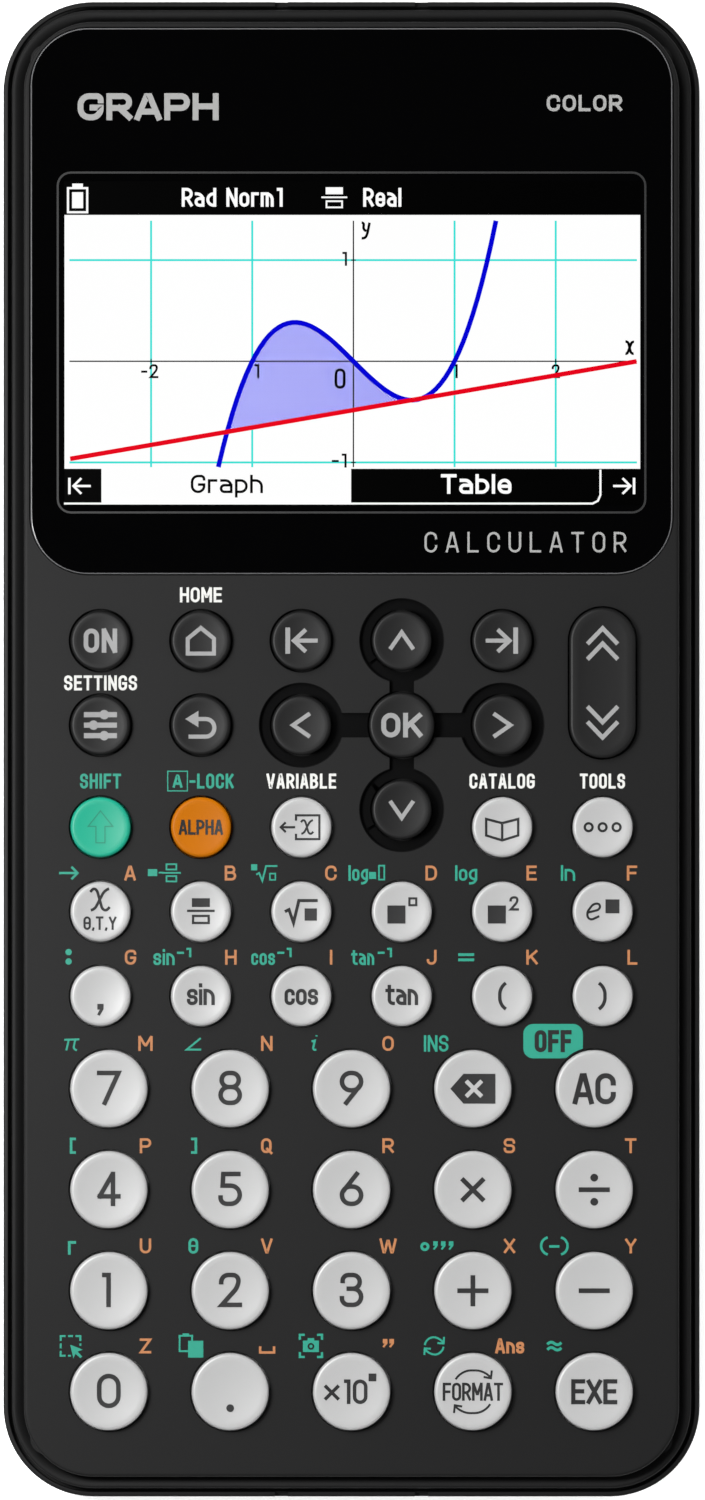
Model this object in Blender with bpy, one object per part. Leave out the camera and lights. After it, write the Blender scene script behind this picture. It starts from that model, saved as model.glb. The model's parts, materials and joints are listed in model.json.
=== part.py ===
"""A pocket graphing calculator lying face up on its back, built as the separate parts it comes apart into.

Metres. +X is to the right of the person using it, +Y runs towards the display end, +Z comes out of the
face. The origin is on the surface that it lies on, under the middle of the case.
"""

import math

import bmesh
import bpy

# ---------------------------------------------------------------- driving dimensions
CLEARANCE = 0.0003  # between pieces that meet but don't move

BODY_WIDTH = 0.0850
BODY_LENGTH = 0.1825
CORNER_RADIUS = 0.0110

# Rear shell
REAR_FLOOR = 0.0016
REAR_WALL = 0.0018
BACK_EDGE_RADIUS = 0.0035
RIM_WIDTH = 0.0006
RIM_BELOW_FACE = 0.0029
RIM_CHAMFER = 0.0002
SEAT_BELOW_RIM = 0.0015
RAIL_HEIGHT = 0.0014
RAIL_DEPTH = 0.0006
RAIL_BELOW_RIM = 0.0036
RAIL_END_MARGIN = 0.0150
COVER_NOTCH_X = 0.00855
COVER_NOTCH_WIDTH = 0.0016
COVER_NOTCH_HEIGHT = 0.0011

# Front shell
LIP_GAP = 0.00045
LIP_ROUND = 0.0003
SHOULDER_WIDTH = 0.0015
SHOULDER_BELOW_FACE = 0.0019
SHOULDER_DISH = 0.0003
FACE_CHAMFER = 0.0003
FACE_WALL = 0.0015
SHELL_WALL = 0.0013

# Display window and display module
WINDOW_SIDE_MARGIN = 0.0035
WINDOW_TOP_MARGIN = 0.00345
WINDOW_RADIUS = 0.0070
WINDOW_THICKNESS = 0.0012
WINDOW_BELOW_FACE = 0.0001
WINDOW_CHAMFER = 0.00025
WINDOW_SHELF = 0.0010  # the wall under the window that carries it
SHELF_OVERHANG = 0.0012
GLASS_SIDE_MARGIN = 0.0031  # from the window's edges to the display's glass
GLASS_TOP_MARGIN = 0.0174
GLASS_BOTTOM_MARGIN = 0.0072
GLASS_RADIUS = 0.0008
GLASS_BELOW_WINDOW = 0.0003
FRAME_BORDER = 0.0014  # how far the display's frame stands out round its glass

# Keys
OUTER_COLUMN_MARGIN = 0.0119  # from the case's side to the middle of the outer column
OUTER_NUMBER_COLUMN_MARGIN = 0.01292
LAST_ROW_MARGIN = 0.00825  # from the case's end to the edge of the last row's keys
NUMBER_ROW_GAP = 0.00291  # between the edges of keys in neighbouring rows, here and below
FUNCTIONS_TO_NUMBERS_GAP = 0.00294
FUNCTION_ROW_GAP = 0.00299
CONTROLS_TO_FUNCTIONS_GAP = 0.00514
CONTROL_ROW_GAP = 0.0030
WINDOW_TO_CONTROLS_GAP = 0.0046
SMALL_KEY_DIAMETER = 0.0073
OK_KEY_DIAMETER = 0.0080
LARGE_KEY_DIAMETER = 0.0094
KEY_CLEARANCE = 0.0002
KEY_PROUD = 0.0012
KEY_TRAVEL = 0.0008
FLANGE_WIDTH = 0.00055
FLANGE_THICKNESS = 0.0006
ROCKER_WIDTH = 0.0081
ROCKER_LENGTH = 0.01835
ROCKER_CLEARANCE = 0.0002
ROCKER_EAR_REACH = 0.0007
ROCKER_EAR_LENGTH = 0.0030
CURSOR_RECESS_BAND = 0.00143
CURSOR_RECESS_DEPTH = 0.0007
CURSOR_CHANNEL_WIDTH = 0.0030

# Keypad mat
MAT_THICKNESS = 0.0004
MAT_RADIUS = 0.0015
DOME_FOOT_INSET = 0.0008  # from the side of the key to the foot of its dome
DOME_SLOPE = 0.0010

# Main board
BOARD_THICKNESS = 0.0008
BOARD_MARGIN = 0.0034
CHIP_EMBED = 0.0002
PROCESSOR_SIZE = (0.0120, 0.0120, 0.0011)
PROCESSOR_PLACE = (-0.0120, 0.0360)  # from the middle and from the display end
MEMORY_SIZE = (0.0110, 0.0070, 0.0010)
MEMORY_PLACE = (0.0090, 0.0340)
CRYSTAL_SIZE = (0.0032, 0.0016, 0.0008)
CRYSTAL_PLACE = (-0.0120, 0.0480)
RESET_SWITCH_SIZE = (0.0040, 0.0040, 0.0015)
RESET_PLACE = (0.0240, 0.0600)
RESET_HOLE_RADIUS = 0.0009
SOCKET_SIZE = (0.0089, 0.0074, 0.0032)
SOCKET_WALL = 0.0004
SOCKET_DEPTH = 0.0062
SOCKET_TONGUE = (0.0066, 0.0007)
SOCKET_HOLE_MARGIN = 0.00005

# Batteries, their bay and its door
CELL_DIAMETER = 0.0105
CELL_LENGTH = 0.0445
CELL_TERMINAL_DIAMETER = 0.0038
CELL_TERMINAL_LENGTH = 0.0010
CELL_EDGE = 0.0005
CELL_SIDE_GAP = 0.0005
CELL_COUNT = 4
SPRING_ROOM = 0.0028  # at each end of the cells, for their springs and contact plates
BAY_WALL = 0.0012
BAY_ROOF = 0.0006
BAY_END_DISTANCE = 0.05625  # from the case's end to the middle of the bay
DOOR_THICKNESS = 0.0012
DOOR_LAP = 0.0028
DOOR_LEDGE = 0.0012
DOOR_RADIUS = 0.0020
HOOK_WIDTH = 0.0060
HOOK_REACH = 0.0018
HOOK_ROOT = 0.0015
HOOK_THICKNESS = 0.0006
HOOK_SPACING = 0.0280
GRIP_WIDTH = 0.0140
GRIP_GROOVE = 0.0008
GRIP_DEPTH = 0.0004
GRIP_COUNT = 3
FINGER_NOTCH_LENGTH = 0.0035
FINGER_NOTCH_DEPTH = 0.0008

# Screws and the bosses that they hold together
BOSS_INSET = 0.0053
BOSS_END_INSET = 0.0072
BOSS_RADIUS = 0.0020
REAR_BOSS_RADIUS = 0.0031
PILOT_RADIUS = 0.0008
PILOT_DEPTH = 0.0026
SHANK_RADIUS = 0.0012
SCREW_HEAD_RADIUS = 0.0020
SCREW_SEAT_HEIGHT = 0.0080
MIDDLE_BOSS_DROP = 0.00625  # below the second row of control keys

# Facets
CORNER_STEPS = 6
EDGE_STEPS = 3
KEY_SIDES = 16
CELL_SIDES = 12
DOME_SIDES = 8
BOSS_SIDES = 12

# ---------------------------------------------------------------- heights, from the back up
CELL_AXIS_Z = DOOR_THICKNESS + CLEARANCE + CELL_DIAMETER / 2
BAY_TOP_Z = CELL_AXIS_Z + CELL_DIAMETER / 2 + CLEARANCE
BOARD_Z = BAY_TOP_Z + BAY_ROOF + CLEARANCE
BOARD_TOP_Z = BOARD_Z + BOARD_THICKNESS
MAT_Z = BOARD_TOP_Z + CLEARANCE
MAT_TOP_Z = MAT_Z + MAT_THICKNESS
KEY_FOOT_Z = MAT_TOP_Z + KEY_TRAVEL + CLEARANCE
DOME_TOP_Z = KEY_FOOT_Z - CLEARANCE
FLANGE_TOP_Z = KEY_FOOT_Z + FLANGE_THICKNESS
FACE_UNDER_Z = FLANGE_TOP_Z + CLEARANCE
FACE_Z = FACE_UNDER_Z + FACE_WALL
KEY_TOP_Z = FACE_Z + KEY_PROUD
RIM_Z = FACE_Z - RIM_BELOW_FACE
SEAT_Z = RIM_Z - SEAT_BELOW_RIM
SKIRT_Z = SEAT_Z + CLEARANCE
SHOULDER_Z = FACE_Z - SHOULDER_BELOW_FACE
SKIRT_CAVITY_Z = SHOULDER_Z - SHOULDER_DISH - SHELL_WALL
WINDOW_TOP_Z = FACE_Z - WINDOW_BELOW_FACE
WINDOW_Z = WINDOW_TOP_Z - WINDOW_THICKNESS
WINDOW_SEAT_Z = WINDOW_Z - CLEARANCE
SHELF_Z = WINDOW_SEAT_Z - WINDOW_SHELF
FRAME_TOP_Z = SHELF_Z - CLEARANCE
GLASS_TOP_Z = WINDOW_Z - GLASS_BELOW_WINDOW
REAR_BOSS_TOP_Z = BOARD_Z - CLEARANCE
FRONT_BOSS_Z = REAR_BOSS_TOP_Z + CLEARANCE
LEDGE_Z = DOOR_THICKNESS + CLEARANCE
HOOK_TOP_Z = DOOR_THICKNESS + CLEARANCE
HOOK_SWEEP = math.hypot(HOOK_REACH, HOOK_TOP_Z)  # the circle that a hook's tip swings on
HOOK_POCKET_Z = HOOK_SWEEP + CLEARANCE
LEDGE_TOP_Z = HOOK_POCKET_Z + DOOR_LEDGE
OUTSIDE = 0.0050  # how far a cutter runs out of what it cuts

# ---------------------------------------------------------------- insets from the case's outline
LIP_INSET = RIM_WIDTH + LIP_GAP
FACE_INSET = LIP_INSET + SHOULDER_WIDTH
CAVITY_INSET = FACE_INSET + SHELL_WALL

# ---------------------------------------------------------------- places
TOP_Y = BODY_LENGTH / 2
BOTTOM_Y = -TOP_Y
NUMBER_PITCH = LARGE_KEY_DIAMETER + NUMBER_ROW_GAP
FUNCTION_PITCH = SMALL_KEY_DIAMETER + FUNCTION_ROW_GAP
CONTROL_PITCH = SMALL_KEY_DIAMETER + CONTROL_ROW_GAP
LAST_ROW_Y = BOTTOM_Y + LAST_ROW_MARGIN + LARGE_KEY_DIAMETER / 2
NUMBER_Y = LAST_ROW_Y + 3 * NUMBER_PITCH
LAST_FUNCTION_Y = NUMBER_Y + (LARGE_KEY_DIAMETER + SMALL_KEY_DIAMETER) / 2 + FUNCTIONS_TO_NUMBERS_GAP
FUNCTION_Y = LAST_FUNCTION_Y + 2 * FUNCTION_PITCH
CONTROL_2_Y = FUNCTION_Y + SMALL_KEY_DIAMETER + CONTROLS_TO_FUNCTIONS_GAP
CONTROL_Y = CONTROL_2_Y + CONTROL_PITCH
CURSOR_DOWN_Y = CONTROL_2_Y - CONTROL_PITCH
ROCKER_Y = (CONTROL_Y + CONTROL_2_Y) / 2
COLUMN_PITCH = (BODY_WIDTH / 2 - OUTER_COLUMN_MARGIN) / 2.5
NUMBER_COLUMN_PITCH = (BODY_WIDTH / 2 - OUTER_NUMBER_COLUMN_MARGIN) / 2
COLUMNS = [(column - 2.5) * COLUMN_PITCH for column in range(6)]
NUMBER_COLUMNS = [(column - 2) * NUMBER_COLUMN_PITCH for column in range(5)]
ROCKER_X = COLUMNS[5]
OK_X = COLUMNS[3]

WINDOW_BOTTOM_Y = CONTROL_Y + SMALL_KEY_DIAMETER / 2 + WINDOW_TO_CONTROLS_GAP
WINDOW_END_Y = TOP_Y - WINDOW_TOP_MARGIN
WINDOW_HALF_WIDTH = BODY_WIDTH / 2 - WINDOW_SIDE_MARGIN
GLASS_HALF_WIDTH = WINDOW_HALF_WIDTH - GLASS_SIDE_MARGIN
GLASS_BOTTOM_Y = WINDOW_BOTTOM_Y + GLASS_BOTTOM_MARGIN
GLASS_END_Y = WINDOW_END_Y - GLASS_TOP_MARGIN

BAY_Y = BOTTOM_Y + BAY_END_DISTANCE
CELL_PITCH = CELL_DIAMETER + CELL_SIDE_GAP
BAY_HALF_WIDTH = (CELL_COUNT - 1) * CELL_PITCH / 2 + CELL_DIAMETER / 2 + CLEARANCE
BAY_HALF_LENGTH = CELL_LENGTH / 2 + SPRING_ROOM
DOOR_HALF_WIDTH = BAY_HALF_WIDTH + DOOR_LAP
DOOR_HALF_LENGTH = BAY_HALF_LENGTH + DOOR_LAP
DOOR_HOOK_Y = BAY_Y - DOOR_HALF_LENGTH
DOOR_LATCH_Y = BAY_Y + DOOR_HALF_LENGTH

BOSS_X = BODY_WIDTH / 2 - BOSS_INSET
BOSS_ROWS = (BOTTOM_Y + BOSS_END_INSET, CONTROL_2_Y - MIDDLE_BOSS_DROP, TOP_Y - BOSS_END_INSET)
BOSS_PLACES = [(side * BOSS_X, y) for y in BOSS_ROWS for side in (-1, 1)]
MAT_INSET = BOSS_INSET + BOSS_RADIUS + CLEARANCE

# ---------------------------------------------------------------- the keys, row by row
CONTROL_KEYS = (
    ("key_on", "key_home", "key_tab_left", "key_cursor_up", "key_tab_right"),
    ("key_settings", "key_back", "key_cursor_left", "key_ok", "key_cursor_right"),
)
FUNCTION_KEYS = (
    ("key_shift", "key_alpha", "key_variable", "key_cursor_down", "key_catalog", "key_tools"),
    ("key_x_theta_t", "key_fraction", "key_square_root", "key_power", "key_square", "key_exponential"),
    ("key_comma", "key_sin", "key_cos", "key_tan", "key_bracket_open", "key_bracket_close"),
)
NUMBER_KEYS = (
    ("key_7", "key_8", "key_9", "key_delete", "key_all_clear"),
    ("key_4", "key_5", "key_6", "key_multiply", "key_divide"),
    ("key_1", "key_2", "key_3", "key_add", "key_subtract"),
    ("key_0", "key_decimal_point", "key_times_ten_power", "key_format", "key_execute"),
)
CURSOR_KEYS = ("key_cursor_up", "key_cursor_left", "key_cursor_right", "key_cursor_down")


# ---------------------------------------------------------------- materials
def finish(name, colour, roughness, metallic=0.0):
    """A Principled material in one colour."""
    material = bpy.data.materials.new(name)
    material.use_nodes = True
    shader = material.node_tree.nodes["Principled BSDF"]
    shader.inputs["Base Color"].default_value = (*colour, 1.0)
    shader.inputs["Roughness"].default_value = roughness
    shader.inputs["Metallic"].default_value = metallic
    return material


# ---------------------------------------------------------------- shapes
def add_object(name, bm, material=None):
    """Turn a finished bmesh into an object; without a material it is a tool that isn't built."""
    bmesh.ops.recalc_face_normals(bm, faces=bm.faces)
    mesh = bpy.data.meshes.new(name)
    bm.to_mesh(mesh)
    bm.free()
    mesh.shade_smooth()
    mesh.set_sharp_from_angle(angle=math.radians(35))
    obj = bpy.data.objects.new(name, mesh)
    bpy.context.scene.collection.objects.link(obj)
    if material is None:
        obj.hide_render = True
        obj.display_type = "WIRE"
    else:
        mesh.materials.append(material)
    return obj


def rounded_ring(bm, low, high, radius, z):
    """A closed ring of vertices round a rectangle with round corners, anticlockwise from above."""
    middles = (
        (high[0] - radius, high[1] - radius),
        (low[0] + radius, high[1] - radius),
        (low[0] + radius, low[1] + radius),
        (high[0] - radius, low[1] + radius),
    )
    ring = []
    for quarter, (x, y) in enumerate(middles):
        for step in range(CORNER_STEPS + 1):
            angle = (quarter + step / CORNER_STEPS) * math.pi / 2
            ring.append(bm.verts.new((x + radius * math.cos(angle), y + radius * math.sin(angle), z)))
    return ring


def skin(bm, rings):
    """Faces between neighbouring rings, and a cap on the first and the last."""
    for lower, upper in zip(rings, rings[1:]):
        for index in range(len(lower)):
            after = (index + 1) % len(lower)
            bm.faces.new((lower[index], lower[after], upper[after], upper[index]))
    bm.faces.new(rings[0])
    bm.faces.new(rings[-1])


def case_loft(name, profile, material=None):
    """A solid whose rings follow the case's outline, each at an (inset, height) of the profile."""
    bm = bmesh.new()
    rings = []
    for inset, z in profile:
        half_width = BODY_WIDTH / 2 - inset
        half_length = BODY_LENGTH / 2 - inset
        low = (-half_width, -half_length)
        high = (half_width, half_length)
        rings.append(rounded_ring(bm, low, high, CORNER_RADIUS - inset, z))
    skin(bm, rings)
    return add_object(name, bm, material)


def rounded_block(name, low, high, radius, material=None, chamfer=0.0):
    """An upright block with round corners, and a chamfer round its top if one is given."""
    bm = bmesh.new()
    rings = [
        rounded_ring(bm, low, high, radius, low[2]),
        rounded_ring(bm, low, high, radius, high[2] - chamfer),
    ]
    if chamfer:
        inner_low = (low[0] + chamfer, low[1] + chamfer)
        inner_high = (high[0] - chamfer, high[1] - chamfer)
        rings.append(rounded_ring(bm, inner_low, inner_high, radius - chamfer, high[2]))
    skin(bm, rings)
    return add_object(name, bm, material)


def add_box(bm, low, high):
    """Add a plain box to a bmesh."""
    made = bmesh.ops.create_cube(bm, size=1.0)
    size = [b - a for a, b in zip(low, high)]
    middle = [(a + b) / 2 for a, b in zip(low, high)]
    bmesh.ops.scale(bm, vec=size, verts=made["verts"])
    bmesh.ops.translate(bm, vec=middle, verts=made["verts"])


def boxes(name, corners):
    """A tool made of plain boxes that stand clear of each other."""
    bm = bmesh.new()
    for low, high in corners:
        add_box(bm, low, high)
    return add_object(name, bm)


def add_turned(bm, profile, sides, place=(0.0, 0.0)):
    """Add an upright turned solid: profile holds (radius, height) pairs from the bottom to the top."""
    rings = []
    for radius, z in profile:
        made = bmesh.ops.create_circle(bm, segments=sides, radius=radius)
        bmesh.ops.translate(bm, vec=(place[0], place[1], z), verts=made["verts"])
        rings.append(made["verts"])
    skin(bm, rings)


def turned(name, profile, sides, places, material=None):
    """The same turned solid at each place, all in one object."""
    bm = bmesh.new()
    for place in places:
        add_turned(bm, profile, sides, place)
    return add_object(name, bm, material)


def combine(target, tool, operation):
    """Cut the tool from the target, or join it on, with a Boolean that stays live."""
    modifier = target.modifiers.new(f"{operation.lower()} {tool.name}", "BOOLEAN")
    modifier.operation = operation
    modifier.solver = "EXACT"
    modifier.object = tool


def cut(target, *tools):
    for tool in tools:
        combine(target, tool, "DIFFERENCE")


def join(target, *tools):
    for tool in tools:
        combine(target, tool, "UNION")


# ---------------------------------------------------------------- key layout
def key_layout():
    """Yield each round key's name, place and diameter."""
    for names, y in zip(CONTROL_KEYS, (CONTROL_Y, CONTROL_2_Y)):
        for name, x in zip(names, COLUMNS):
            yield name, (x, y), OK_KEY_DIAMETER if name == "key_ok" else SMALL_KEY_DIAMETER
    for row, names in enumerate(FUNCTION_KEYS):
        for name, x in zip(names, COLUMNS):
            y = CURSOR_DOWN_Y if name == "key_cursor_down" else FUNCTION_Y - row * FUNCTION_PITCH
            yield name, (x, y), SMALL_KEY_DIAMETER
    for row, names in enumerate(NUMBER_KEYS):
        for name, x in zip(names, NUMBER_COLUMNS):
            yield name, (x, NUMBER_Y - row * NUMBER_PITCH), LARGE_KEY_DIAMETER


# ---------------------------------------------------------------- rear shell
def rear_shell(plastic):
    """The tray that carries the battery bay and the screws, with a thin rim round the front shell."""
    back_edge = []
    for step in range(EDGE_STEPS + 1):
        angle = step / EDGE_STEPS * math.pi / 2
        inset = BACK_EDGE_RADIUS * (1 - math.sin(angle))
        back_edge.append((inset, BACK_EDGE_RADIUS * (1 - math.cos(angle))))
    wall = [
        (0.0, RIM_Z - RIM_CHAMFER),
        (RIM_CHAMFER, RIM_Z),
        (RIM_WIDTH, RIM_Z),
        (RIM_WIDTH, SEAT_Z),
        (REAR_WALL, SEAT_Z),
        (REAR_WALL, BACK_EDGE_RADIUS),
        (BACK_EDGE_RADIUS, REAR_FLOOR),
    ]
    shell = case_loft("rear_shell", back_edge + wall, plastic)
    bay_low = (-BAY_HALF_WIDTH, BAY_Y - BAY_HALF_LENGTH, -OUTSIDE)
    bay_high = (BAY_HALF_WIDTH, BAY_Y + BAY_HALF_LENGTH, BAY_TOP_Z)
    join(shell, bay_block(), ledge_block(), rear_bosses())
    cut(shell, door_recess(), boxes("bay hollow", [(bay_low, bay_high)]), hook_pockets(), finger_notch())
    cut(shell, screw_holes("screw head holes", SCREW_HEAD_RADIUS, SCREW_SEAT_HEIGHT))
    cut(shell, screw_holes("screw shank holes", SHANK_RADIUS, REAR_BOSS_TOP_Z + OUTSIDE))
    cut(shell, rail_grooves(), cover_notches(), socket_hole(), reset_hole())
    return shell


def bay_block():
    low = (-BAY_HALF_WIDTH - BAY_WALL, BAY_Y - BAY_HALF_LENGTH - BAY_WALL, REAR_FLOOR / 2)
    high = (BAY_HALF_WIDTH + BAY_WALL, BAY_Y + BAY_HALF_LENGTH + BAY_WALL, BAY_TOP_Z + BAY_ROOF)
    return boxes("bay block", [(low, high)])


def ledge_block():
    """The step round the bay that the door closes against."""
    border = CLEARANCE + HOOK_REACH + BAY_WALL
    low = (-DOOR_HALF_WIDTH - border, DOOR_HOOK_Y - border, REAR_FLOOR / 2)
    high = (DOOR_HALF_WIDTH + border, DOOR_LATCH_Y + border, LEDGE_TOP_Z)
    return rounded_block("ledge block", low, high, DOOR_RADIUS)


def door_recess():
    low = (-DOOR_HALF_WIDTH - CLEARANCE, DOOR_HOOK_Y - CLEARANCE, -OUTSIDE)
    high = (DOOR_HALF_WIDTH + CLEARANCE, DOOR_LATCH_Y + CLEARANCE, LEDGE_Z)
    return rounded_block("door recess", low, high, DOOR_RADIUS + CLEARANCE)


def hook_pockets():
    """Closed pockets over and behind the door's hooks, as far as they sweep when it swings open."""
    corners = []
    for side in (-1, 1):
        x = side * HOOK_SPACING / 2
        half = HOOK_WIDTH / 2 + CLEARANCE
        low = (x - half, DOOR_HOOK_Y - HOOK_SWEEP - CLEARANCE, HOOK_TOP_Z - HOOK_THICKNESS - CLEARANCE)
        corners.append((low, (x + half, DOOR_HOOK_Y + HOOK_ROOT + CLEARANCE, HOOK_POCKET_Z)))
    return boxes("hook pockets", corners)


def finger_notch():
    low = (-GRIP_WIDTH / 2, DOOR_LATCH_Y, -OUTSIDE)
    high = (GRIP_WIDTH / 2, DOOR_LATCH_Y + FINGER_NOTCH_LENGTH, FINGER_NOTCH_DEPTH)
    return boxes("finger notch", [(low, high)])


def rear_bosses():
    profile = [(REAR_BOSS_RADIUS, REAR_FLOOR * 0.8), (REAR_BOSS_RADIUS, REAR_BOSS_TOP_Z)]
    return turned("rear bosses", profile, BOSS_SIDES, BOSS_PLACES)


def screw_holes(name, radius, top):
    return turned(name, [(radius, -OUTSIDE), (radius, top)], BOSS_SIDES, BOSS_PLACES)


def rail_grooves():
    """The long grooves down both sides that a slide-on hard cover runs in."""
    top = RIM_Z - RAIL_BELOW_RIM
    length = TOP_Y - RAIL_END_MARGIN
    corners = []
    for side in (-1, 1):
        inner = side * (BODY_WIDTH / 2 - RAIL_DEPTH)
        outer = side * (BODY_WIDTH / 2 + OUTSIDE)
        low = (min(inner, outer), -length, top - RAIL_HEIGHT)
        corners.append((low, (max(inner, outer), length, top)))
    return boxes("rail grooves", corners)


def cover_notches():
    """Four small notches through the rim, two at each end, that the slide-on cover clicks into."""
    corners = []
    for end in (-1, 1):
        inner = end * (TOP_Y - RIM_WIDTH - LIP_GAP / 2)
        outer = end * (TOP_Y + OUTSIDE)
        for side in (-1, 1):
            x = side * COVER_NOTCH_X
            low = (x - COVER_NOTCH_WIDTH / 2, min(inner, outer), RIM_Z - COVER_NOTCH_HEIGHT)
            high = (x + COVER_NOTCH_WIDTH / 2, max(inner, outer), RIM_Z + OUTSIDE)
            corners.append((low, high))
    return boxes("cover notches", corners)


def socket_hole():
    """The hole in the end wall in front of the data socket."""
    half = SOCKET_SIZE[0] / 2 - SOCKET_HOLE_MARGIN
    low = (-half, TOP_Y - REAR_WALL - OUTSIDE / 4, BOARD_Z - SOCKET_SIZE[2] + SOCKET_HOLE_MARGIN)
    high = (half, TOP_Y + OUTSIDE, BOARD_Z - SOCKET_HOLE_MARGIN)
    return boxes("socket hole", [(low, high)])


def reset_hole():
    place = (RESET_PLACE[0], TOP_Y - RESET_PLACE[1])
    profile = [(RESET_HOLE_RADIUS, -OUTSIDE), (RESET_HOLE_RADIUS, REAR_FLOOR + OUTSIDE)]
    return turned("reset hole", profile, BOSS_SIDES, [place])


# ---------------------------------------------------------------- front shell
def front_shell(plastic):
    """The face, with its shoulder, key holes and window pocket, nested inside the rear shell's rim."""
    outside = [
        (LIP_INSET, SKIRT_Z),
        (LIP_INSET, SHOULDER_Z - LIP_ROUND),
        (LIP_INSET + LIP_ROUND, SHOULDER_Z),
        (LIP_INSET + SHOULDER_WIDTH * 0.6, SHOULDER_Z - SHOULDER_DISH),
        (FACE_INSET, SHOULDER_Z - SHOULDER_DISH / 2),
        (FACE_INSET, FACE_Z - FACE_CHAMFER),
        (FACE_INSET + FACE_CHAMFER, FACE_Z),
    ]
    shell = case_loft("front_shell", outside, plastic)
    below = SKIRT_Z - OUTSIDE
    skirt_inset = LIP_INSET + SHELL_WALL
    cut(shell, case_loft("skirt hollow", [(skirt_inset, below), (skirt_inset, SKIRT_CAVITY_Z)]))
    cut(shell, case_loft("case hollow", [(CAVITY_INSET, below), (CAVITY_INSET, SHELF_Z)]))
    cut(shell, keypad_hollow())
    join(shell, front_bosses())
    cut(shell, window_pocket(), glass_opening(), *cursor_recess(), *key_holes(), pilot_holes())
    return shell


def keypad_hollow():
    half_width = BODY_WIDTH / 2 - CAVITY_INSET
    low = (-half_width, BOTTOM_Y + CAVITY_INSET, SKIRT_Z)
    high = (half_width, WINDOW_BOTTOM_Y - SHELF_OVERHANG, FACE_UNDER_Z)
    return rounded_block("keypad hollow", low, high, CORNER_RADIUS - CAVITY_INSET)


def front_bosses():
    """Six posts for the screws, from the wall above them down to the rear shell's bosses."""
    bm = bmesh.new()
    for place in BOSS_PLACES:
        under_window = place[1] > WINDOW_BOTTOM_Y
        top = SHELF_Z + WINDOW_SHELF / 2 if under_window else FACE_UNDER_Z + FACE_WALL / 2
        add_turned(bm, [(BOSS_RADIUS, FRONT_BOSS_Z), (BOSS_RADIUS, top)], BOSS_SIDES, place)
    return add_object("front bosses", bm)


def window_pocket():
    half_width = WINDOW_HALF_WIDTH + CLEARANCE
    low = (-half_width, WINDOW_BOTTOM_Y - CLEARANCE, WINDOW_SEAT_Z)
    high = (half_width, WINDOW_END_Y + CLEARANCE, FACE_Z + OUTSIDE)
    return rounded_block("window pocket", low, high, WINDOW_RADIUS + CLEARANCE)


def glass_opening():
    half_width = GLASS_HALF_WIDTH + CLEARANCE
    low = (-half_width, GLASS_BOTTOM_Y - CLEARANCE, SHELF_Z - OUTSIDE)
    high = (half_width, GLASS_END_Y + CLEARANCE, WINDOW_SEAT_Z + OUTSIDE)
    return rounded_block("glass opening", low, high, GLASS_RADIUS + CLEARANCE)


def cursor_recess():
    """A round recess about each cursor key, and the cross of channels that links them."""
    floor_z = FACE_Z - CURSOR_RECESS_DEPTH
    radius = SMALL_KEY_DIAMETER / 2 + CURSOR_RECESS_BAND
    places = [place for name, place, _ in key_layout() if name in CURSOR_KEYS]
    circles = turned("cursor circles", [(radius, floor_z), (radius, FACE_Z + OUTSIDE)], KEY_SIDES, places)
    half = CURSOR_CHANNEL_WIDTH / 2
    top = FACE_Z + OUTSIDE
    across_low = (OK_X - COLUMN_PITCH, CONTROL_2_Y - half, floor_z)
    across_high = (OK_X + COLUMN_PITCH, CONTROL_2_Y + half, top)
    across = boxes("channel across", [(across_low, across_high)])
    along_low = (OK_X - half, CURSOR_DOWN_Y, floor_z)
    along_high = (OK_X + half, CONTROL_Y, top)
    return circles, across, boxes("channel along", [(along_low, along_high)])


def key_holes():
    """A hole for each round key, and one for the page rocker."""
    bm = bmesh.new()
    for _, place, diameter in key_layout():
        radius = diameter / 2 + KEY_CLEARANCE
        add_turned(bm, [(radius, FACE_UNDER_Z - CLEARANCE), (radius, FACE_Z + OUTSIDE)], KEY_SIDES, place)
    half_width = ROCKER_WIDTH / 2 + ROCKER_CLEARANCE
    half_length = ROCKER_LENGTH / 2 + ROCKER_CLEARANCE
    low = (ROCKER_X - half_width, ROCKER_Y - half_length, FACE_UNDER_Z - CLEARANCE)
    high = (ROCKER_X + half_width, ROCKER_Y + half_length, FACE_Z + OUTSIDE)
    return add_object("round key holes", bm), rounded_block("rocker hole", low, high, half_width * 0.999)


def pilot_holes():
    profile = [(PILOT_RADIUS, FRONT_BOSS_Z - OUTSIDE), (PILOT_RADIUS, FRONT_BOSS_Z + PILOT_DEPTH)]
    return turned("pilot holes", profile, BOSS_SIDES, BOSS_PLACES)


# ---------------------------------------------------------------- window and display
def display_window(gloss):
    low = (-WINDOW_HALF_WIDTH, WINDOW_BOTTOM_Y, WINDOW_Z)
    high = (WINDOW_HALF_WIDTH, WINDOW_END_Y, WINDOW_TOP_Z)
    return rounded_block("display_window", low, high, WINDOW_RADIUS, gloss, WINDOW_CHAMFER)


def display_module(glass):
    """A frame under the shelf, with the glass that stands up in the opening."""
    border = FRAME_BORDER
    low = (-GLASS_HALF_WIDTH - border, GLASS_BOTTOM_Y - border, MAT_Z)
    high = (GLASS_HALF_WIDTH + border, GLASS_END_Y + border, FRAME_TOP_Z)
    module = rounded_block("display_module", low, high, GLASS_RADIUS, glass)
    glass_low = (-GLASS_HALF_WIDTH, GLASS_BOTTOM_Y, FRAME_TOP_Z - CLEARANCE)
    glass_high = (GLASS_HALF_WIDTH, GLASS_END_Y, GLASS_TOP_Z)
    join(module, rounded_block("glass", glass_low, glass_high, GLASS_RADIUS))
    return module


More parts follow.
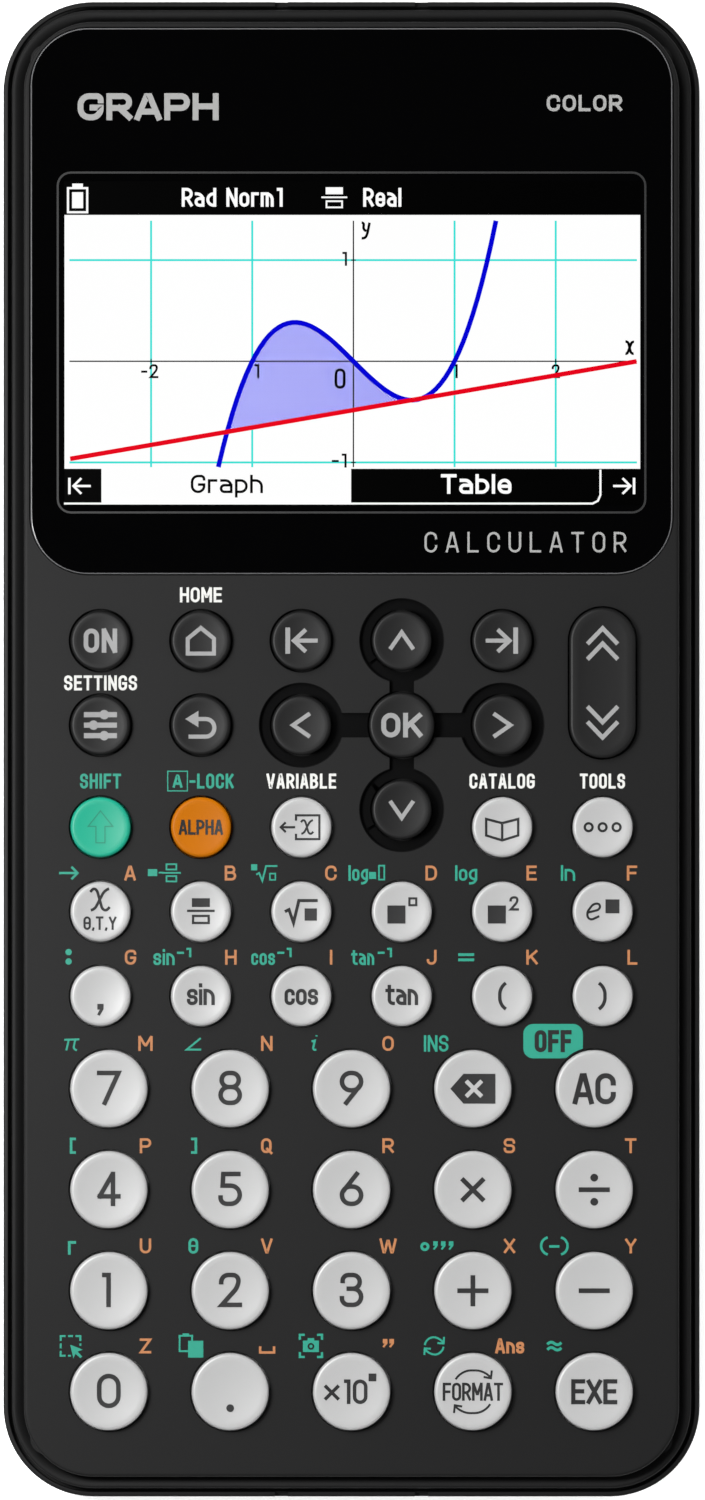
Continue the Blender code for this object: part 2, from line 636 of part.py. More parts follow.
# ---------------------------------------------------------------- main board and mat
def main_board(laminate):
    """The circuit board, with its chips and data socket soldered on underneath."""
    board = case_loft("main_board", [(BOARD_MARGIN, BOARD_Z), (BOARD_MARGIN, BOARD_TOP_Z)], laminate)
    radius = BOSS_RADIUS + CLEARANCE
    profile = [(radius, BOARD_Z - OUTSIDE), (radius, BOARD_TOP_Z + OUTSIDE)]
    cut(board, turned("boss notches", profile, BOSS_SIDES, BOSS_PLACES))
    join(board, chips(), socket())
    return board


def chips():
    bm = bmesh.new()
    parts = (
        (PROCESSOR_SIZE, PROCESSOR_PLACE),
        (MEMORY_SIZE, MEMORY_PLACE),
        (CRYSTAL_SIZE, CRYSTAL_PLACE),
        (RESET_SWITCH_SIZE, RESET_PLACE),
    )
    for (width, length, height), (x, from_end) in parts:
        y = TOP_Y - from_end
        low = (x - width / 2, y - length / 2, BOARD_Z - height)
        add_box(bm, low, (x + width / 2, y + length / 2, BOARD_Z + CHIP_EMBED))
    return add_object("chips", bm)


def socket():
    """The data socket: a metal sleeve with a tongue in its mouth, its front just inside the end wall."""
    width, length, height = SOCKET_SIZE
    front = TOP_Y - REAR_WALL - CLEARANCE
    bm = bmesh.new()
    add_box(bm, (-width / 2, front - length, BOARD_Z - height), (width / 2, front, BOARD_Z + CHIP_EMBED))
    sleeve = add_object("socket", bm)
    mouth_low = (-width / 2 + SOCKET_WALL, front - SOCKET_DEPTH, BOARD_Z - height + SOCKET_WALL)
    mouth_high = (width / 2 - SOCKET_WALL, front + OUTSIDE, BOARD_Z - SOCKET_WALL)
    cut(sleeve, boxes("socket mouth", [(mouth_low, mouth_high)]))
    tongue_width, tongue_height = SOCKET_TONGUE
    middle = BOARD_Z - height / 2
    tongue_low = (-tongue_width / 2, front - length + SOCKET_WALL, middle - tongue_height / 2)
    tongue_high = (tongue_width / 2, front - SOCKET_WALL, middle + tongue_height / 2)
    join(sleeve, boxes("socket tongue", [(tongue_low, tongue_high)]))
    return sleeve


def keypad_mat(rubber):
    """One soft sheet with a collapsing dome under each key, and two under the page rocker."""
    half_width = BODY_WIDTH / 2 - MAT_INSET
    low = (-half_width, BOTTOM_Y + MAT_INSET, MAT_Z)
    high = (half_width, WINDOW_BOTTOM_Y - SHELF_OVERHANG, MAT_TOP_Z)
    mat = rounded_block("keypad_mat", low, high, MAT_RADIUS, rubber)
    bm = bmesh.new()
    for place, radius in dome_layout():
        foot = radius - DOME_FOOT_INSET
        root = (foot, MAT_TOP_Z - MAT_THICKNESS / 2)
        profile = [root, (foot, MAT_TOP_Z), (foot - DOME_SLOPE, DOME_TOP_Z)]
        add_turned(bm, profile, DOME_SIDES, place)
    join(mat, add_object("domes", bm))
    return mat


def dome_layout():
    """Yield where each dome stands, and the radius of the key on it."""
    for _, place, diameter in key_layout():
        yield place, diameter / 2
    for y in (CONTROL_Y, CONTROL_2_Y):
        yield (ROCKER_X, y), ROCKER_WIDTH / 2


# ---------------------------------------------------------------- keys
def round_key(name, place, diameter, plastic):
    """A round key on the flange that keeps it in; its origin is on its own axis, at the flange."""
    radius = diameter / 2
    flange = radius + FLANGE_WIDTH
    profile = [
        (flange, 0.0),
        (flange, FLANGE_THICKNESS),
        (radius, FLANGE_THICKNESS),
        (radius, KEY_TOP_Z - KEY_FOOT_Z),
    ]
    key = turned(name, profile, KEY_SIDES, [(0.0, 0.0)], plastic)
    key.location = (*place, KEY_FOOT_Z)
    return key


def page_rocker(plastic):
    """The long key that tips both ways about the ears in its middle."""
    half_width = ROCKER_WIDTH / 2
    half_length = ROCKER_LENGTH / 2
    low = (-half_width, -half_length, KEY_FOOT_Z)
    high = (half_width, half_length, KEY_TOP_Z)
    rocker = rounded_block("page_rocker", low, high, half_width * 0.999, plastic)
    reach = half_width + ROCKER_EAR_REACH
    ear_low = (-reach, -ROCKER_EAR_LENGTH / 2, KEY_FOOT_Z + CLEARANCE / 2)
    ears = boxes("rocker ears", [(ear_low, (reach, ROCKER_EAR_LENGTH / 2, FLANGE_TOP_Z))])
    join(rocker, ears)
    for obj in (rocker, ears):
        obj.location = (ROCKER_X, ROCKER_Y, 0.0)
    return rocker


# ---------------------------------------------------------------- batteries and door
def battery_cell(number, jacket):
    """An AAA cell lying along Y; neighbours lie opposite ways round."""
    radius = CELL_DIAMETER / 2
    half = CELL_LENGTH / 2
    shoulder = half - CELL_TERMINAL_LENGTH
    profile = [
        (radius - CELL_EDGE, -half),
        (radius, -half + CELL_EDGE),
        (radius, shoulder - CELL_EDGE),
        (radius - CELL_EDGE, shoulder),
        (CELL_TERMINAL_DIAMETER / 2, shoulder),
        (CELL_TERMINAL_DIAMETER / 2, half),
    ]
    cell = turned(f"battery_cell_{number}", profile, CELL_SIDES, [(0.0, 0.0)], jacket)
    direction = -1 if number % 2 else 1
    cell.rotation_euler = (direction * math.pi / 2, 0.0, 0.0)
    cell.location = ((number - (CELL_COUNT + 1) / 2) * CELL_PITCH, BAY_Y, CELL_AXIS_Z)
    return cell


def battery_door(plastic):
    """The flush cover of the bay; its origin is on the edge that it swings about."""
    bm = bmesh.new()
    length = 2 * DOOR_HALF_LENGTH
    low = (-DOOR_HALF_WIDTH, 0.0)
    high = (DOOR_HALF_WIDTH, length)
    skin(bm, [rounded_ring(bm, low, high, DOOR_RADIUS, z) for z in (0.0, DOOR_THICKNESS)])
    door = add_object("battery_door", bm, plastic)
    hook_corners = []
    for side in (-1, 1):
        x = side * HOOK_SPACING / 2
        hook_low = (x - HOOK_WIDTH / 2, -HOOK_REACH, HOOK_TOP_Z - HOOK_THICKNESS)
        hook_corners.append((hook_low, (x + HOOK_WIDTH / 2, HOOK_ROOT, HOOK_TOP_Z)))
    grooves = []
    for number in range(GRIP_COUNT):
        y = length - (number + 1) * 3 * GRIP_GROOVE
        groove_low = (-GRIP_WIDTH / 2, y, -OUTSIDE)
        grooves.append((groove_low, (GRIP_WIDTH / 2, y + GRIP_GROOVE, GRIP_DEPTH)))
    hooks = boxes("door hooks", hook_corners)
    grip = boxes("door grip", grooves)
    join(door, hooks)
    cut(door, grip)
    for obj in (door, hooks, grip):
        obj.location = (0.0, DOOR_HOOK_Y, 0.0)
    return door


# ---------------------------------------------------------------- build
def key_finish(name, finishes):
    """Control keys are dark, two are coloured and the rest are light."""
    dark = CONTROL_KEYS[0] + CONTROL_KEYS[1] + ("key_cursor_down",)
    if name in dark:
        return finishes["dark"]
    if name in ("key_shift", "key_alpha"):
        return finishes[name]
    return finishes["light"]


def build():
    for obj in list(bpy.data.objects):
        bpy.data.objects.remove(obj, do_unlink=True)
    charcoal = finish("charcoal plastic", (0.035, 0.035, 0.036), 0.5)
    finishes = {
        "dark": finish("dark key plastic", (0.030, 0.030, 0.032), 0.4),
        "light": finish("light key plastic", (0.62, 0.62, 0.63), 0.4),
        "key_shift": finish("green key plastic", (0.03, 0.50, 0.32), 0.4),
        "key_alpha": finish("orange key plastic", (0.87, 0.26, 0.01), 0.4),
    }
    rear_shell(charcoal)
    front_shell(charcoal)
    display_window(finish("black gloss panel", (0.004, 0.004, 0.004), 0.05))
    display_module(finish("display glass", (0.75, 0.78, 0.80), 0.2))
    main_board(finish("green laminate", (0.01, 0.09, 0.04), 0.45))
    keypad_mat(finish("silicone rubber", (0.45, 0.46, 0.47), 0.7))
    battery_door(charcoal)
    jacket = finish("battery jacket", (0.02, 0.05, 0.25), 0.3, 0.6)
    for number in range(1, CELL_COUNT + 1):
        battery_cell(number, jacket)
    for name, place, diameter in key_layout():
        round_key(name, place, diameter, key_finish(name, finishes))
    page_rocker(finishes["dark"])


build()
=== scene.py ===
"""A pocket graphing calculator, finished for show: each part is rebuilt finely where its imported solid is.

Metres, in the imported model's own frame: +X is to the user's right, +Y runs to the display end and +Z
comes out of the face. Legends and icons are drawn in millimetres from the middle of what they are on.
"""

import json
import math

import bmesh
import bpy
from mathutils import Matrix, Vector

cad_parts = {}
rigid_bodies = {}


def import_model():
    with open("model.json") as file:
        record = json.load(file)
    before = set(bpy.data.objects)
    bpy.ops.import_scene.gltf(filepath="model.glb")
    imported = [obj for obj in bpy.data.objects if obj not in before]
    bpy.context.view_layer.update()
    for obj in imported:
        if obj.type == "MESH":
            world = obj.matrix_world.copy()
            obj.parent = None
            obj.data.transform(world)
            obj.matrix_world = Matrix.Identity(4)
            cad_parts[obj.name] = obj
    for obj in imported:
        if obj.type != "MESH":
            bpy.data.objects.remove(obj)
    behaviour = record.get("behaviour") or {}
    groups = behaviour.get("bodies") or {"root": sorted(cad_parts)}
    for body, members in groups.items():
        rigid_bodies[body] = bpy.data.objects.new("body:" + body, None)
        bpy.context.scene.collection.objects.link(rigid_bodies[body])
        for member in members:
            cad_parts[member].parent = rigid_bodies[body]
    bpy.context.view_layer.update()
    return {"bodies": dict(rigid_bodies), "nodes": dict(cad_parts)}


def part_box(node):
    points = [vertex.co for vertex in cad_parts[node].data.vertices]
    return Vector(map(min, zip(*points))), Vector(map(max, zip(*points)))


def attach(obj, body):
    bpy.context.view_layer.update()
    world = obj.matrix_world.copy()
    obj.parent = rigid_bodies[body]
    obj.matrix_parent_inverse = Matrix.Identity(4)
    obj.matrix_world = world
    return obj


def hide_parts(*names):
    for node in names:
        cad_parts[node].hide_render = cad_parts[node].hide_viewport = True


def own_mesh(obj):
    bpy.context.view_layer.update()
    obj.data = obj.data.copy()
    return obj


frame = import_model()

MM = 0.001

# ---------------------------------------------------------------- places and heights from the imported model
CASE_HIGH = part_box("rear_shell")[1]
FACE_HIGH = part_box("front_shell")[1]
WINDOW_LOW, WINDOW_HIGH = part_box("display_window")
MODULE_LOW, MODULE_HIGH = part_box("display_module")
BOARD_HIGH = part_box("main_board")[1]
DOOR_LOW, DOOR_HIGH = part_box("battery_door")
ROCKER_LOW, ROCKER_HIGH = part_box("page_rocker")
ROCKER_EAR = 0.0007  # how far an ear stands out from the rocker's side
KEY_GAP = 0.0002
CELLS = [f"battery_cell_{number}" for number in (1, 2, 3, 4)]
KEYS = [name for name in sorted(frame["bodies"]) if name.startswith("key_")]
CURSOR_KEYS = ("key_cursor_up", "key_cursor_left", "key_cursor_right", "key_cursor_down")
DARK_KEYS = ("key_on", "key_home", "key_tab_left", "key_tab_right", "key_settings", "key_back", "key_ok")

HALF_WIDTH = CASE_HIGH.x
HALF_LENGTH = CASE_HIGH.y
CORNER_RADIUS = 0.0110
CLEARANCE = 0.0003
OUTSIDE = 0.0050  # how far a cutting tool runs out of what it cuts
PRINT_HEIGHT = 0.00003
PRINT_SINK = 0.00001
PRINT_STEP = 0.000002  # strokes that cross stand this far above each other, in turn
PRINT_STEPS = 5

FACE_Z = FACE_HIGH.z
SKIRT_Z = FACE_Z - 0.0041
SEAT_Z = SKIRT_Z - CLEARANCE
RIM_Z = SEAT_Z + 0.0015
SHOULDER_Z = FACE_Z - 0.0019
SHOULDER_DISH = 0.0003
FACE_UNDER_Z = FACE_Z - 0.0015
KEY_FOOT_Z, KEY_TOP_Z = (corner.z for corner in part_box("key_7"))
FLANGE_TOP_Z = KEY_FOOT_Z + 0.0006
FLANGE_WIDTH = 0.00055
BOARD_TOP_Z = BOARD_HIGH.z
BOARD_Z = BOARD_TOP_Z - 0.0008
WINDOW_SEAT_Z = WINDOW_LOW.z - CLEARANCE
SHELF_Z = WINDOW_SEAT_Z - 0.0010
RECESS_Z = FACE_Z - 0.0007
BAY_TOP_Z = BOARD_Z - 0.0009

RIM_WIDTH = 0.0006
LIP_INSET = 0.00105
FACE_INSET = 0.00255
SHELL_WALL = 0.0013
REAR_WALL = 0.0018
REAR_FLOOR = 0.0016
BACK_EDGE_RADIUS = 0.0035

BOSS_RADIUS = 0.0020
REAR_BOSS_RADIUS = 0.0031
SCREW_SEAT_Z = 0.0080
BOSS_X = HALF_WIDTH - 0.0053
CONTROL_Y = (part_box("key_on")[0].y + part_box("key_on")[1].y) / 2
CONTROL_2_Y = (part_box("key_ok")[0].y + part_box("key_ok")[1].y) / 2
OK_X = (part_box("key_ok")[0].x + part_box("key_ok")[1].x) / 2
COLUMN_PITCH = 2 * OK_X
BOSS_ROWS = (-HALF_LENGTH + 0.0072, CONTROL_2_Y - 0.00625, HALF_LENGTH - 0.0072)
BOSS_PLACES = [(side * BOSS_X, y) for y in BOSS_ROWS for side in (-1, 1)]


# ---------------------------------------------------------------- camera
def camera():
    """A long lens straight above the face."""
    lens, film = 400.0, 36.0
    seen_length = 0.1829
    data = bpy.data.cameras.new("camera")
    data.lens = lens
    data.sensor_width = film
    data.clip_start = 0.1
    data.clip_end = 20.0
    obj = bpy.data.objects.new("camera", data)
    obj.location = (0.00012, -0.00009, FACE_Z + seen_length * lens / film)
    bpy.context.scene.collection.objects.link(obj)
    bpy.context.scene.camera = obj
    bpy.context.scene.view_settings.view_transform = "Standard"


# ---------------------------------------------------------------- finishes
class Wire:
    """An output in a material's nodes; a sum written with it adds the Math nodes."""

    def __init__(self, finish, socket):
        self.finish = finish
        self.socket = socket

    def math(self, operation, *values):
        return self.finish.node("ShaderNodeMath", {"operation": operation}, dict(enumerate(values)))

    def __add__(self, other):
        return self.math("ADD", self, other)

    def __mul__(self, other):
        return self.math("MULTIPLY", self, other)

    __radd__ = __add__
    __rmul__ = __mul__


class Finish:
    """A Principled material; what is the same all over it is set as it is made."""

    def __init__(self, name, colour, roughness, **settings):
        self.material = bpy.data.materials.new(name)
        self.material.use_nodes = True
        self.tree = self.material.node_tree
        self.shader = self.tree.nodes["Principled BSDF"]
        self.set("Base Color", (*colour, 1.0))
        self.set("Roughness", roughness)
        for socket, value in settings.items():
            self.set(socket.replace("_", " ").title().replace("Ior", "IOR"), value)

    def set(self, socket, value):
        """Set one of the shader's sockets, or wire it up."""
        if isinstance(value, Wire):
            self.tree.links.new(value.socket, self.shader.inputs[socket])
        else:
            self.shader.inputs[socket].default_value = value

    def node(self, kind, settings, sockets, output=0):
        """Add a node: its settings first, then the values or wires of its sockets."""
        node = self.tree.nodes.new(kind)
        for setting, value in settings.items():
            if setting == "stops":
                for stop, (place, colour) in zip(node.color_ramp.elements, value):
                    stop.position = place
                    stop.color = (*colour, 1.0)
            else:
                setattr(node, setting, value)
        for socket, value in sockets.items():
            if isinstance(value, Wire):
                self.tree.links.new(value.socket, node.inputs[socket])
            else:
                node.inputs[socket].default_value = value
        return Wire(self, node.outputs[output])

    def place(self):
        return self.node("ShaderNodeTexCoord", {}, {}, "Object")

    def noise(self, size, detail=2.0, stretch=(1.0, 1.0, 1.0)):
        """Even noise whose lumps are about the given size across."""
        spread = self.node("ShaderNodeMapping", {}, {"Vector": self.place(), "Scale": stretch})
        return self.node("ShaderNodeTexNoise", {}, {"Vector": spread, "Scale": 1 / size, "Detail": detail})

    def vary_colour(self, low, high, amount):
        """Run the base colour between two colours with a 0 to 1 wire."""
        stops = ((0.0, low), (1.0, high))
        self.set("Base Color", self.node("ShaderNodeValToRGB", {"stops": stops}, {"Fac": amount}))

    def bump(self, height, strength, depth):
        sockets = {"Height": height, "Strength": strength, "Distance": depth}
        self.set("Normal", self.node("ShaderNodeBump", {}, sockets))


MOULD_GRAIN = 0.00016
KEY_GRAIN_DEPTH = 0.000003


def moulded(name, colour, roughness, depth=0.000006, drift=0.10, gloss=0.5):
    """Moulded plastic with a fine even grain, and colour and gloss that drift a little over the part."""
    finish = Finish(name, colour, roughness)
    finish.set("Specular IOR Level", gloss)
    broad = finish.noise(0.012, 3.0)
    low = [channel * (1 - drift) for channel in colour]
    high = [channel * (1 + drift) for channel in colour]
    finish.vary_colour(low, high, broad)
    fine = finish.noise(MOULD_GRAIN, 2.0)
    finish.set("Roughness", fine * 0.12 + (roughness - 0.06))
    finish.bump(fine, 0.35, depth)
    return finish.material


def print_ink(name, colour, roughness=0.55):
    """Screen printing ink: almost even, with the faint mottle of the mesh that it went through."""
    finish = Finish(name, colour, roughness)
    finish.set("Specular IOR Level", 0.15)
    mottle = finish.noise(0.0004, 2.0)
    finish.vary_colour([channel * 0.93 for channel in colour], colour, mottle)
    finish.bump(mottle, 0.2, 0.000004)
    return finish.material


def lit(name, colour):
    """A lit part of the display's picture, seen through the glossy window."""
    finish = Finish(name, (0.0, 0.0, 0.0), 0.35, emission_strength=1.0)
    glow = finish.noise(0.03, 1.0)
    stops = ((0.0, [channel * 0.985 for channel in colour]), (1.0, colour))
    finish.set("Emission Color", finish.node("ShaderNodeValToRGB", {"stops": stops}, {"Fac": glow}))
    finish.set("Specular IOR Level", 0.01)
    return finish.material


def dithered(name, ink, paper):
    """Small squares of two lit colours, one for each dot of the display."""
    finish = Finish(name, (0.0, 0.0, 0.0), 0.35, emission_strength=1.0)
    dot = 0.000184
    sockets = {"Vector": finish.place(), "Color1": (*ink, 1.0), "Color2": (*paper, 1.0), "Scale": 1 / dot}
    finish.set("Emission Color", finish.node("ShaderNodeTexChecker", {}, sockets))
    return finish.material


def brushed_metal(name, colour, roughness):
    finish = Finish(name, colour, roughness, metallic=1.0)
    lines = finish.noise(0.0012, 3.0, stretch=(1.0, 12.0, 12.0))
    finish.set("Roughness", lines * 0.2 + (roughness - 0.1))
    finish.bump(lines, 0.15, 0.000004)
    return finish.material


def window_gloss():
    """Black backed acrylic: deep gloss with a barely seen swirl of wiping marks."""
    finish = Finish("window_gloss", (0.0004, 0.0004, 0.0005), 0.06, specular_ior_level=0.35)
    swirl = finish.noise(0.004, 4.0)
    finish.set("Roughness", swirl * 0.05 + 0.03)
    return finish.material


def solder_mask():
    """Green lacquer over copper: the tracks show as a slightly raised maze."""
    finish = Finish("board_lacquer", (0.010, 0.090, 0.035), 0.35, coat_weight=0.4)
    sockets = {"Vector": finish.place(), "Scale": 420.0}
    maze = finish.node("ShaderNodeTexBrick", {"offset": 0.5, "squash": 0.6}, sockets, "Fac")
    finish.vary_colour((0.008, 0.075, 0.030), (0.020, 0.150, 0.060), maze)
    finish.bump(maze, 0.4, 0.00003)
    return finish.material


def cell_jacket():
    """The printed sleeve of a cell: a dark body with a coppery band towards its positive end."""
    finish = Finish("cell_jacket", (0.02, 0.02, 0.022), 0.28, coat_weight=0.5)
    mottle = finish.noise(0.002, 2.0)
    finish.vary_colour((0.016, 0.017, 0.020), (0.026, 0.027, 0.030), mottle)
    return finish.material


FINISHES = {}


def make_finishes():
    FINISHES.update(
        shell=moulded("shell_plastic", (0.0036, 0.0036, 0.0037), 0.56, gloss=0.08),
        rear=moulded("rear_shell_plastic", (0.0045, 0.0045, 0.0046), 0.50, gloss=0.08),
        recess=moulded("recess_black", (0.0008, 0.0008, 0.0009), 0.60, depth=0.000002, gloss=0.02),
        dark=moulded("dark_key_plastic", (0.0042, 0.0042, 0.0043), 0.48, depth=KEY_GRAIN_DEPTH, gloss=0.10),
        light=moulded(
            "light_key_plastic", (0.325, 0.325, 0.325),
            0.42,
            depth=KEY_GRAIN_DEPTH,
            drift=0.02,
            gloss=0.4,
        ),
        green=moulded(
            "green_key_plastic", (0.008, 0.292, 0.185),
            0.42,
            depth=KEY_GRAIN_DEPTH,
            drift=0.03,
            gloss=0.12,
        ),
        orange=moulded(
            "orange_key_plastic", (0.395, 0.112, 0.0003),
            0.42,
            depth=KEY_GRAIN_DEPTH,
            drift=0.03,
            gloss=0.04,
        ),
        rubber=moulded("mat_rubber", (0.060, 0.062, 0.066), 0.75, depth=0.000010),
        window=window_gloss(),
        # The window's eased edge in a lighter grey: a painted highlight for the light that the edge catches,
        # made with the ink helper.
        window_edge=print_ink("window_edge", (0.12, 0.12, 0.124), 0.30),
        window_line=print_ink("window_line", (0.011, 0.011, 0.0113), 0.5),
        white_ink=print_ink("white_ink", (0.60, 0.60, 0.58)),
        green_ink=print_ink("green_ink", (0.010, 0.245, 0.168)),
        # A darker green for the shift key's arrow: painted shade standing in for the shading of an outline
        # embossed in the key's own green.
        arrow_ink=print_ink("arrow_green_painted_shade", (0.005, 0.190, 0.118)),
        orange_ink=print_ink("orange_ink", (0.385, 0.150, 0.055)),
        grey_ink=print_ink("grey_ink", (0.25, 0.25, 0.25)),
        badge_ink=print_ink("badge_dark_ink", (0.002, 0.003, 0.003)),
        dark_ink=print_ink("dark_ink", (0.0075, 0.0075, 0.0080)),
        word_ink=print_ink("word_ink", (0.28, 0.28, 0.275), 0.4),
        lit_white=lit("lit_white", (1.0, 1.0, 1.0)),
        lit_black=lit("lit_black", (0.0, 0.0, 0.0)),
        lit_cyan=lit("lit_cyan", (0.04, 0.76, 0.68)),
        lit_blue=lit("lit_blue", (0.0, 0.0, 0.66)),
        lit_red=lit("lit_red", (0.80, 0.0, 0.01)),
        lit_shade=dithered("lit_shade", (0.02, 0.02, 0.72), (0.62, 0.62, 1.0)),
        module=moulded("module_frame", (0.05, 0.05, 0.055), 0.4),
        lacquer=solder_mask(),
        epoxy=moulded("chip_epoxy", (0.012, 0.012, 0.013), 0.6),
        steel=brushed_metal("steel", (0.55, 0.56, 0.58), 0.32),
        spring=brushed_metal("spring_wire", (0.62, 0.60, 0.56), 0.25),
        jacket=cell_jacket(),
        copper=print_ink("cell_band", (0.52, 0.22, 0.06), 0.25),
    )


# ---------------------------------------------------------------- making meshes
def add_piece(name, bm, *finishes, smooth=35.0, merge=True):
    """Turn a finished bmesh into an object with its doubles merged and its faces outwards."""
    if merge:
        bmesh.ops.remove_doubles(bm, verts=bm.verts, dist=1e-7)
    bmesh.ops.recalc_face_normals(bm, faces=bm.faces)
    mesh = bpy.data.meshes.new(name)
    bm.to_mesh(mesh)
    bm.free()
    obj = bpy.data.objects.new(name, mesh)
    bpy.context.scene.collection.objects.link(obj)
    for finish in finishes:
        mesh.materials.append(FINISHES[finish])
    shade(mesh, smooth)
    return obj


def shade(mesh, smooth=35.0):
    mesh.shade_smooth()
    mesh.set_sharp_from_angle(angle=math.radians(smooth))


def settle(obj, tools=()):
    """Apply an object's modifiers for good and clear away the tools that they used."""
    bpy.context.view_layer.update()
    seen = obj.evaluated_get(bpy.context.evaluated_depsgraph_get())
    mesh = bpy.data.meshes.new_from_object(seen)
    obj.modifiers.clear()
    obj.data = mesh
    shade(mesh)
    for tool in tools:
        bpy.data.objects.remove(tool)
    return obj


def shape(obj, operation, tools):
    """Cut closed tools out of an object, or join them on."""
    for tool in tools:
        modifier = obj.modifiers.new(tool.name, "BOOLEAN")
        modifier.operation = operation
        modifier.solver = "EXACT"
        modifier.object = tool
    settle(obj, tools)


def arc(middle, radius, start, end, steps):
    """(inset or radius, height) points along part of a circle, its angles in degrees."""
    for step in range(steps + 1):
        angle = math.radians(start + (end - start) * step / steps)
        yield middle[0] + radius * math.cos(angle), middle[1] + radius * math.sin(angle)


def rounded_ring(bm, low, high, radius, z, steps=16):
    """A closed ring of vertices round a rectangle with round corners."""
    middles = (
        (high[0] - radius, high[1] - radius),
        (low[0] + radius, high[1] - radius),
        (low[0] + radius, low[1] + radius),
        (high[0] - radius, low[1] + radius),
    )
    ring = []
    for quarter, middle in enumerate(middles):
        for x, y in arc(middle, radius, quarter * 90, quarter * 90 + 90, steps):
            ring.append(bm.verts.new((x, y, z)))
    return ring


def skin(bm, rings):
    """Faces between neighbouring rings, and a cap on the first and the last."""
    for lower, upper in zip(rings, rings[1:]):
        for index in range(len(lower)):
            after = (index + 1) % len(lower)
            bm.faces.new((lower[index], lower[after], upper[after], upper[index]))
    bm.faces.new(rings[0])
    bm.faces.new(rings[-1])


def inset_loft(name, low, high, radius, profile, *finishes, steps=16):
    """A solid whose rings follow one rounded rectangle, each at an (inset, height) of the profile."""
    bm = bmesh.new()
    rings = []
    for inset, z in profile:
        inner_low = (low[0] + inset, low[1] + inset)
        inner_high = (high[0] - inset, high[1] - inset)
        rings.append(rounded_ring(bm, inner_low, inner_high, max(radius - inset, 0.00005), z, steps))
    skin(bm, rings)
    return add_piece(name, bm, *finishes)


def case_loft(name, profile, *finishes):
    low = (-HALF_WIDTH, -HALF_LENGTH)
    return inset_loft(name, low, (HALF_WIDTH, HALF_LENGTH), CORNER_RADIUS, profile, *finishes, steps=20)


def block(name, low, high, radius, *finishes, steps=10):
    """An upright block with round corners."""
    profile = [(0.0, low[2]), (0.0, high[2])]
    return inset_loft(name, low, high, radius, profile, *finishes, steps=steps)


def add_box(bm, low, high):
    made = bmesh.ops.create_cube(bm, size=1.0)
    bmesh.ops.scale(bm, vec=[b - a for a, b in zip(low, high)], verts=made["verts"])
    bmesh.ops.translate(bm, vec=[(a + b) / 2 for a, b in zip(low, high)], verts=made["verts"])


def boxes(name, corners, *finishes):
    """Plain boxes that stand clear of each other, in one object."""
    bm = bmesh.new()
    for low, high in corners:
        add_box(bm, low, high)
    return add_piece(name, bm, *finishes)


def turn(bm, profile, place, sides=48, along=None):
    """Spin a (radius, height) profile that starts and ends on the axis into a closed solid."""
    points = [bm.verts.new((radius, 0.0, z)) for radius, z in profile]
    edges = [bm.edges.new(pair) for pair in zip(points, points[1:])]
    before = set(bm.verts) - set(points)
    circle = {"cent": (0, 0, 0), "axis": (0, 0, 1), "angle": math.tau, "steps": sides}
    bmesh.ops.spin(bm, geom=points + edges, use_merge=True, **circle)
    made = [vert for vert in bm.verts if vert not in before]
    turned = Matrix.Translation(Vector((place[0], place[1], place[2] if len(place) > 2 else 0.0)))
    if along is not None:
        turned = turned @ Vector((0, 0, 1)).rotation_difference(Vector(along)).to_matrix().to_4x4()
    bmesh.ops.transform(bm, matrix=turned, verts=made)


def posts(name, profile, places, sides=48, *finishes):
    bm = bmesh.new()
    closed = [(0.0, profile[0][1]), *profile, (0.0, profile[-1][1])]
    for place in places:
        turn(bm, closed, place, sides)
    return add_piece(name, bm, *finishes)


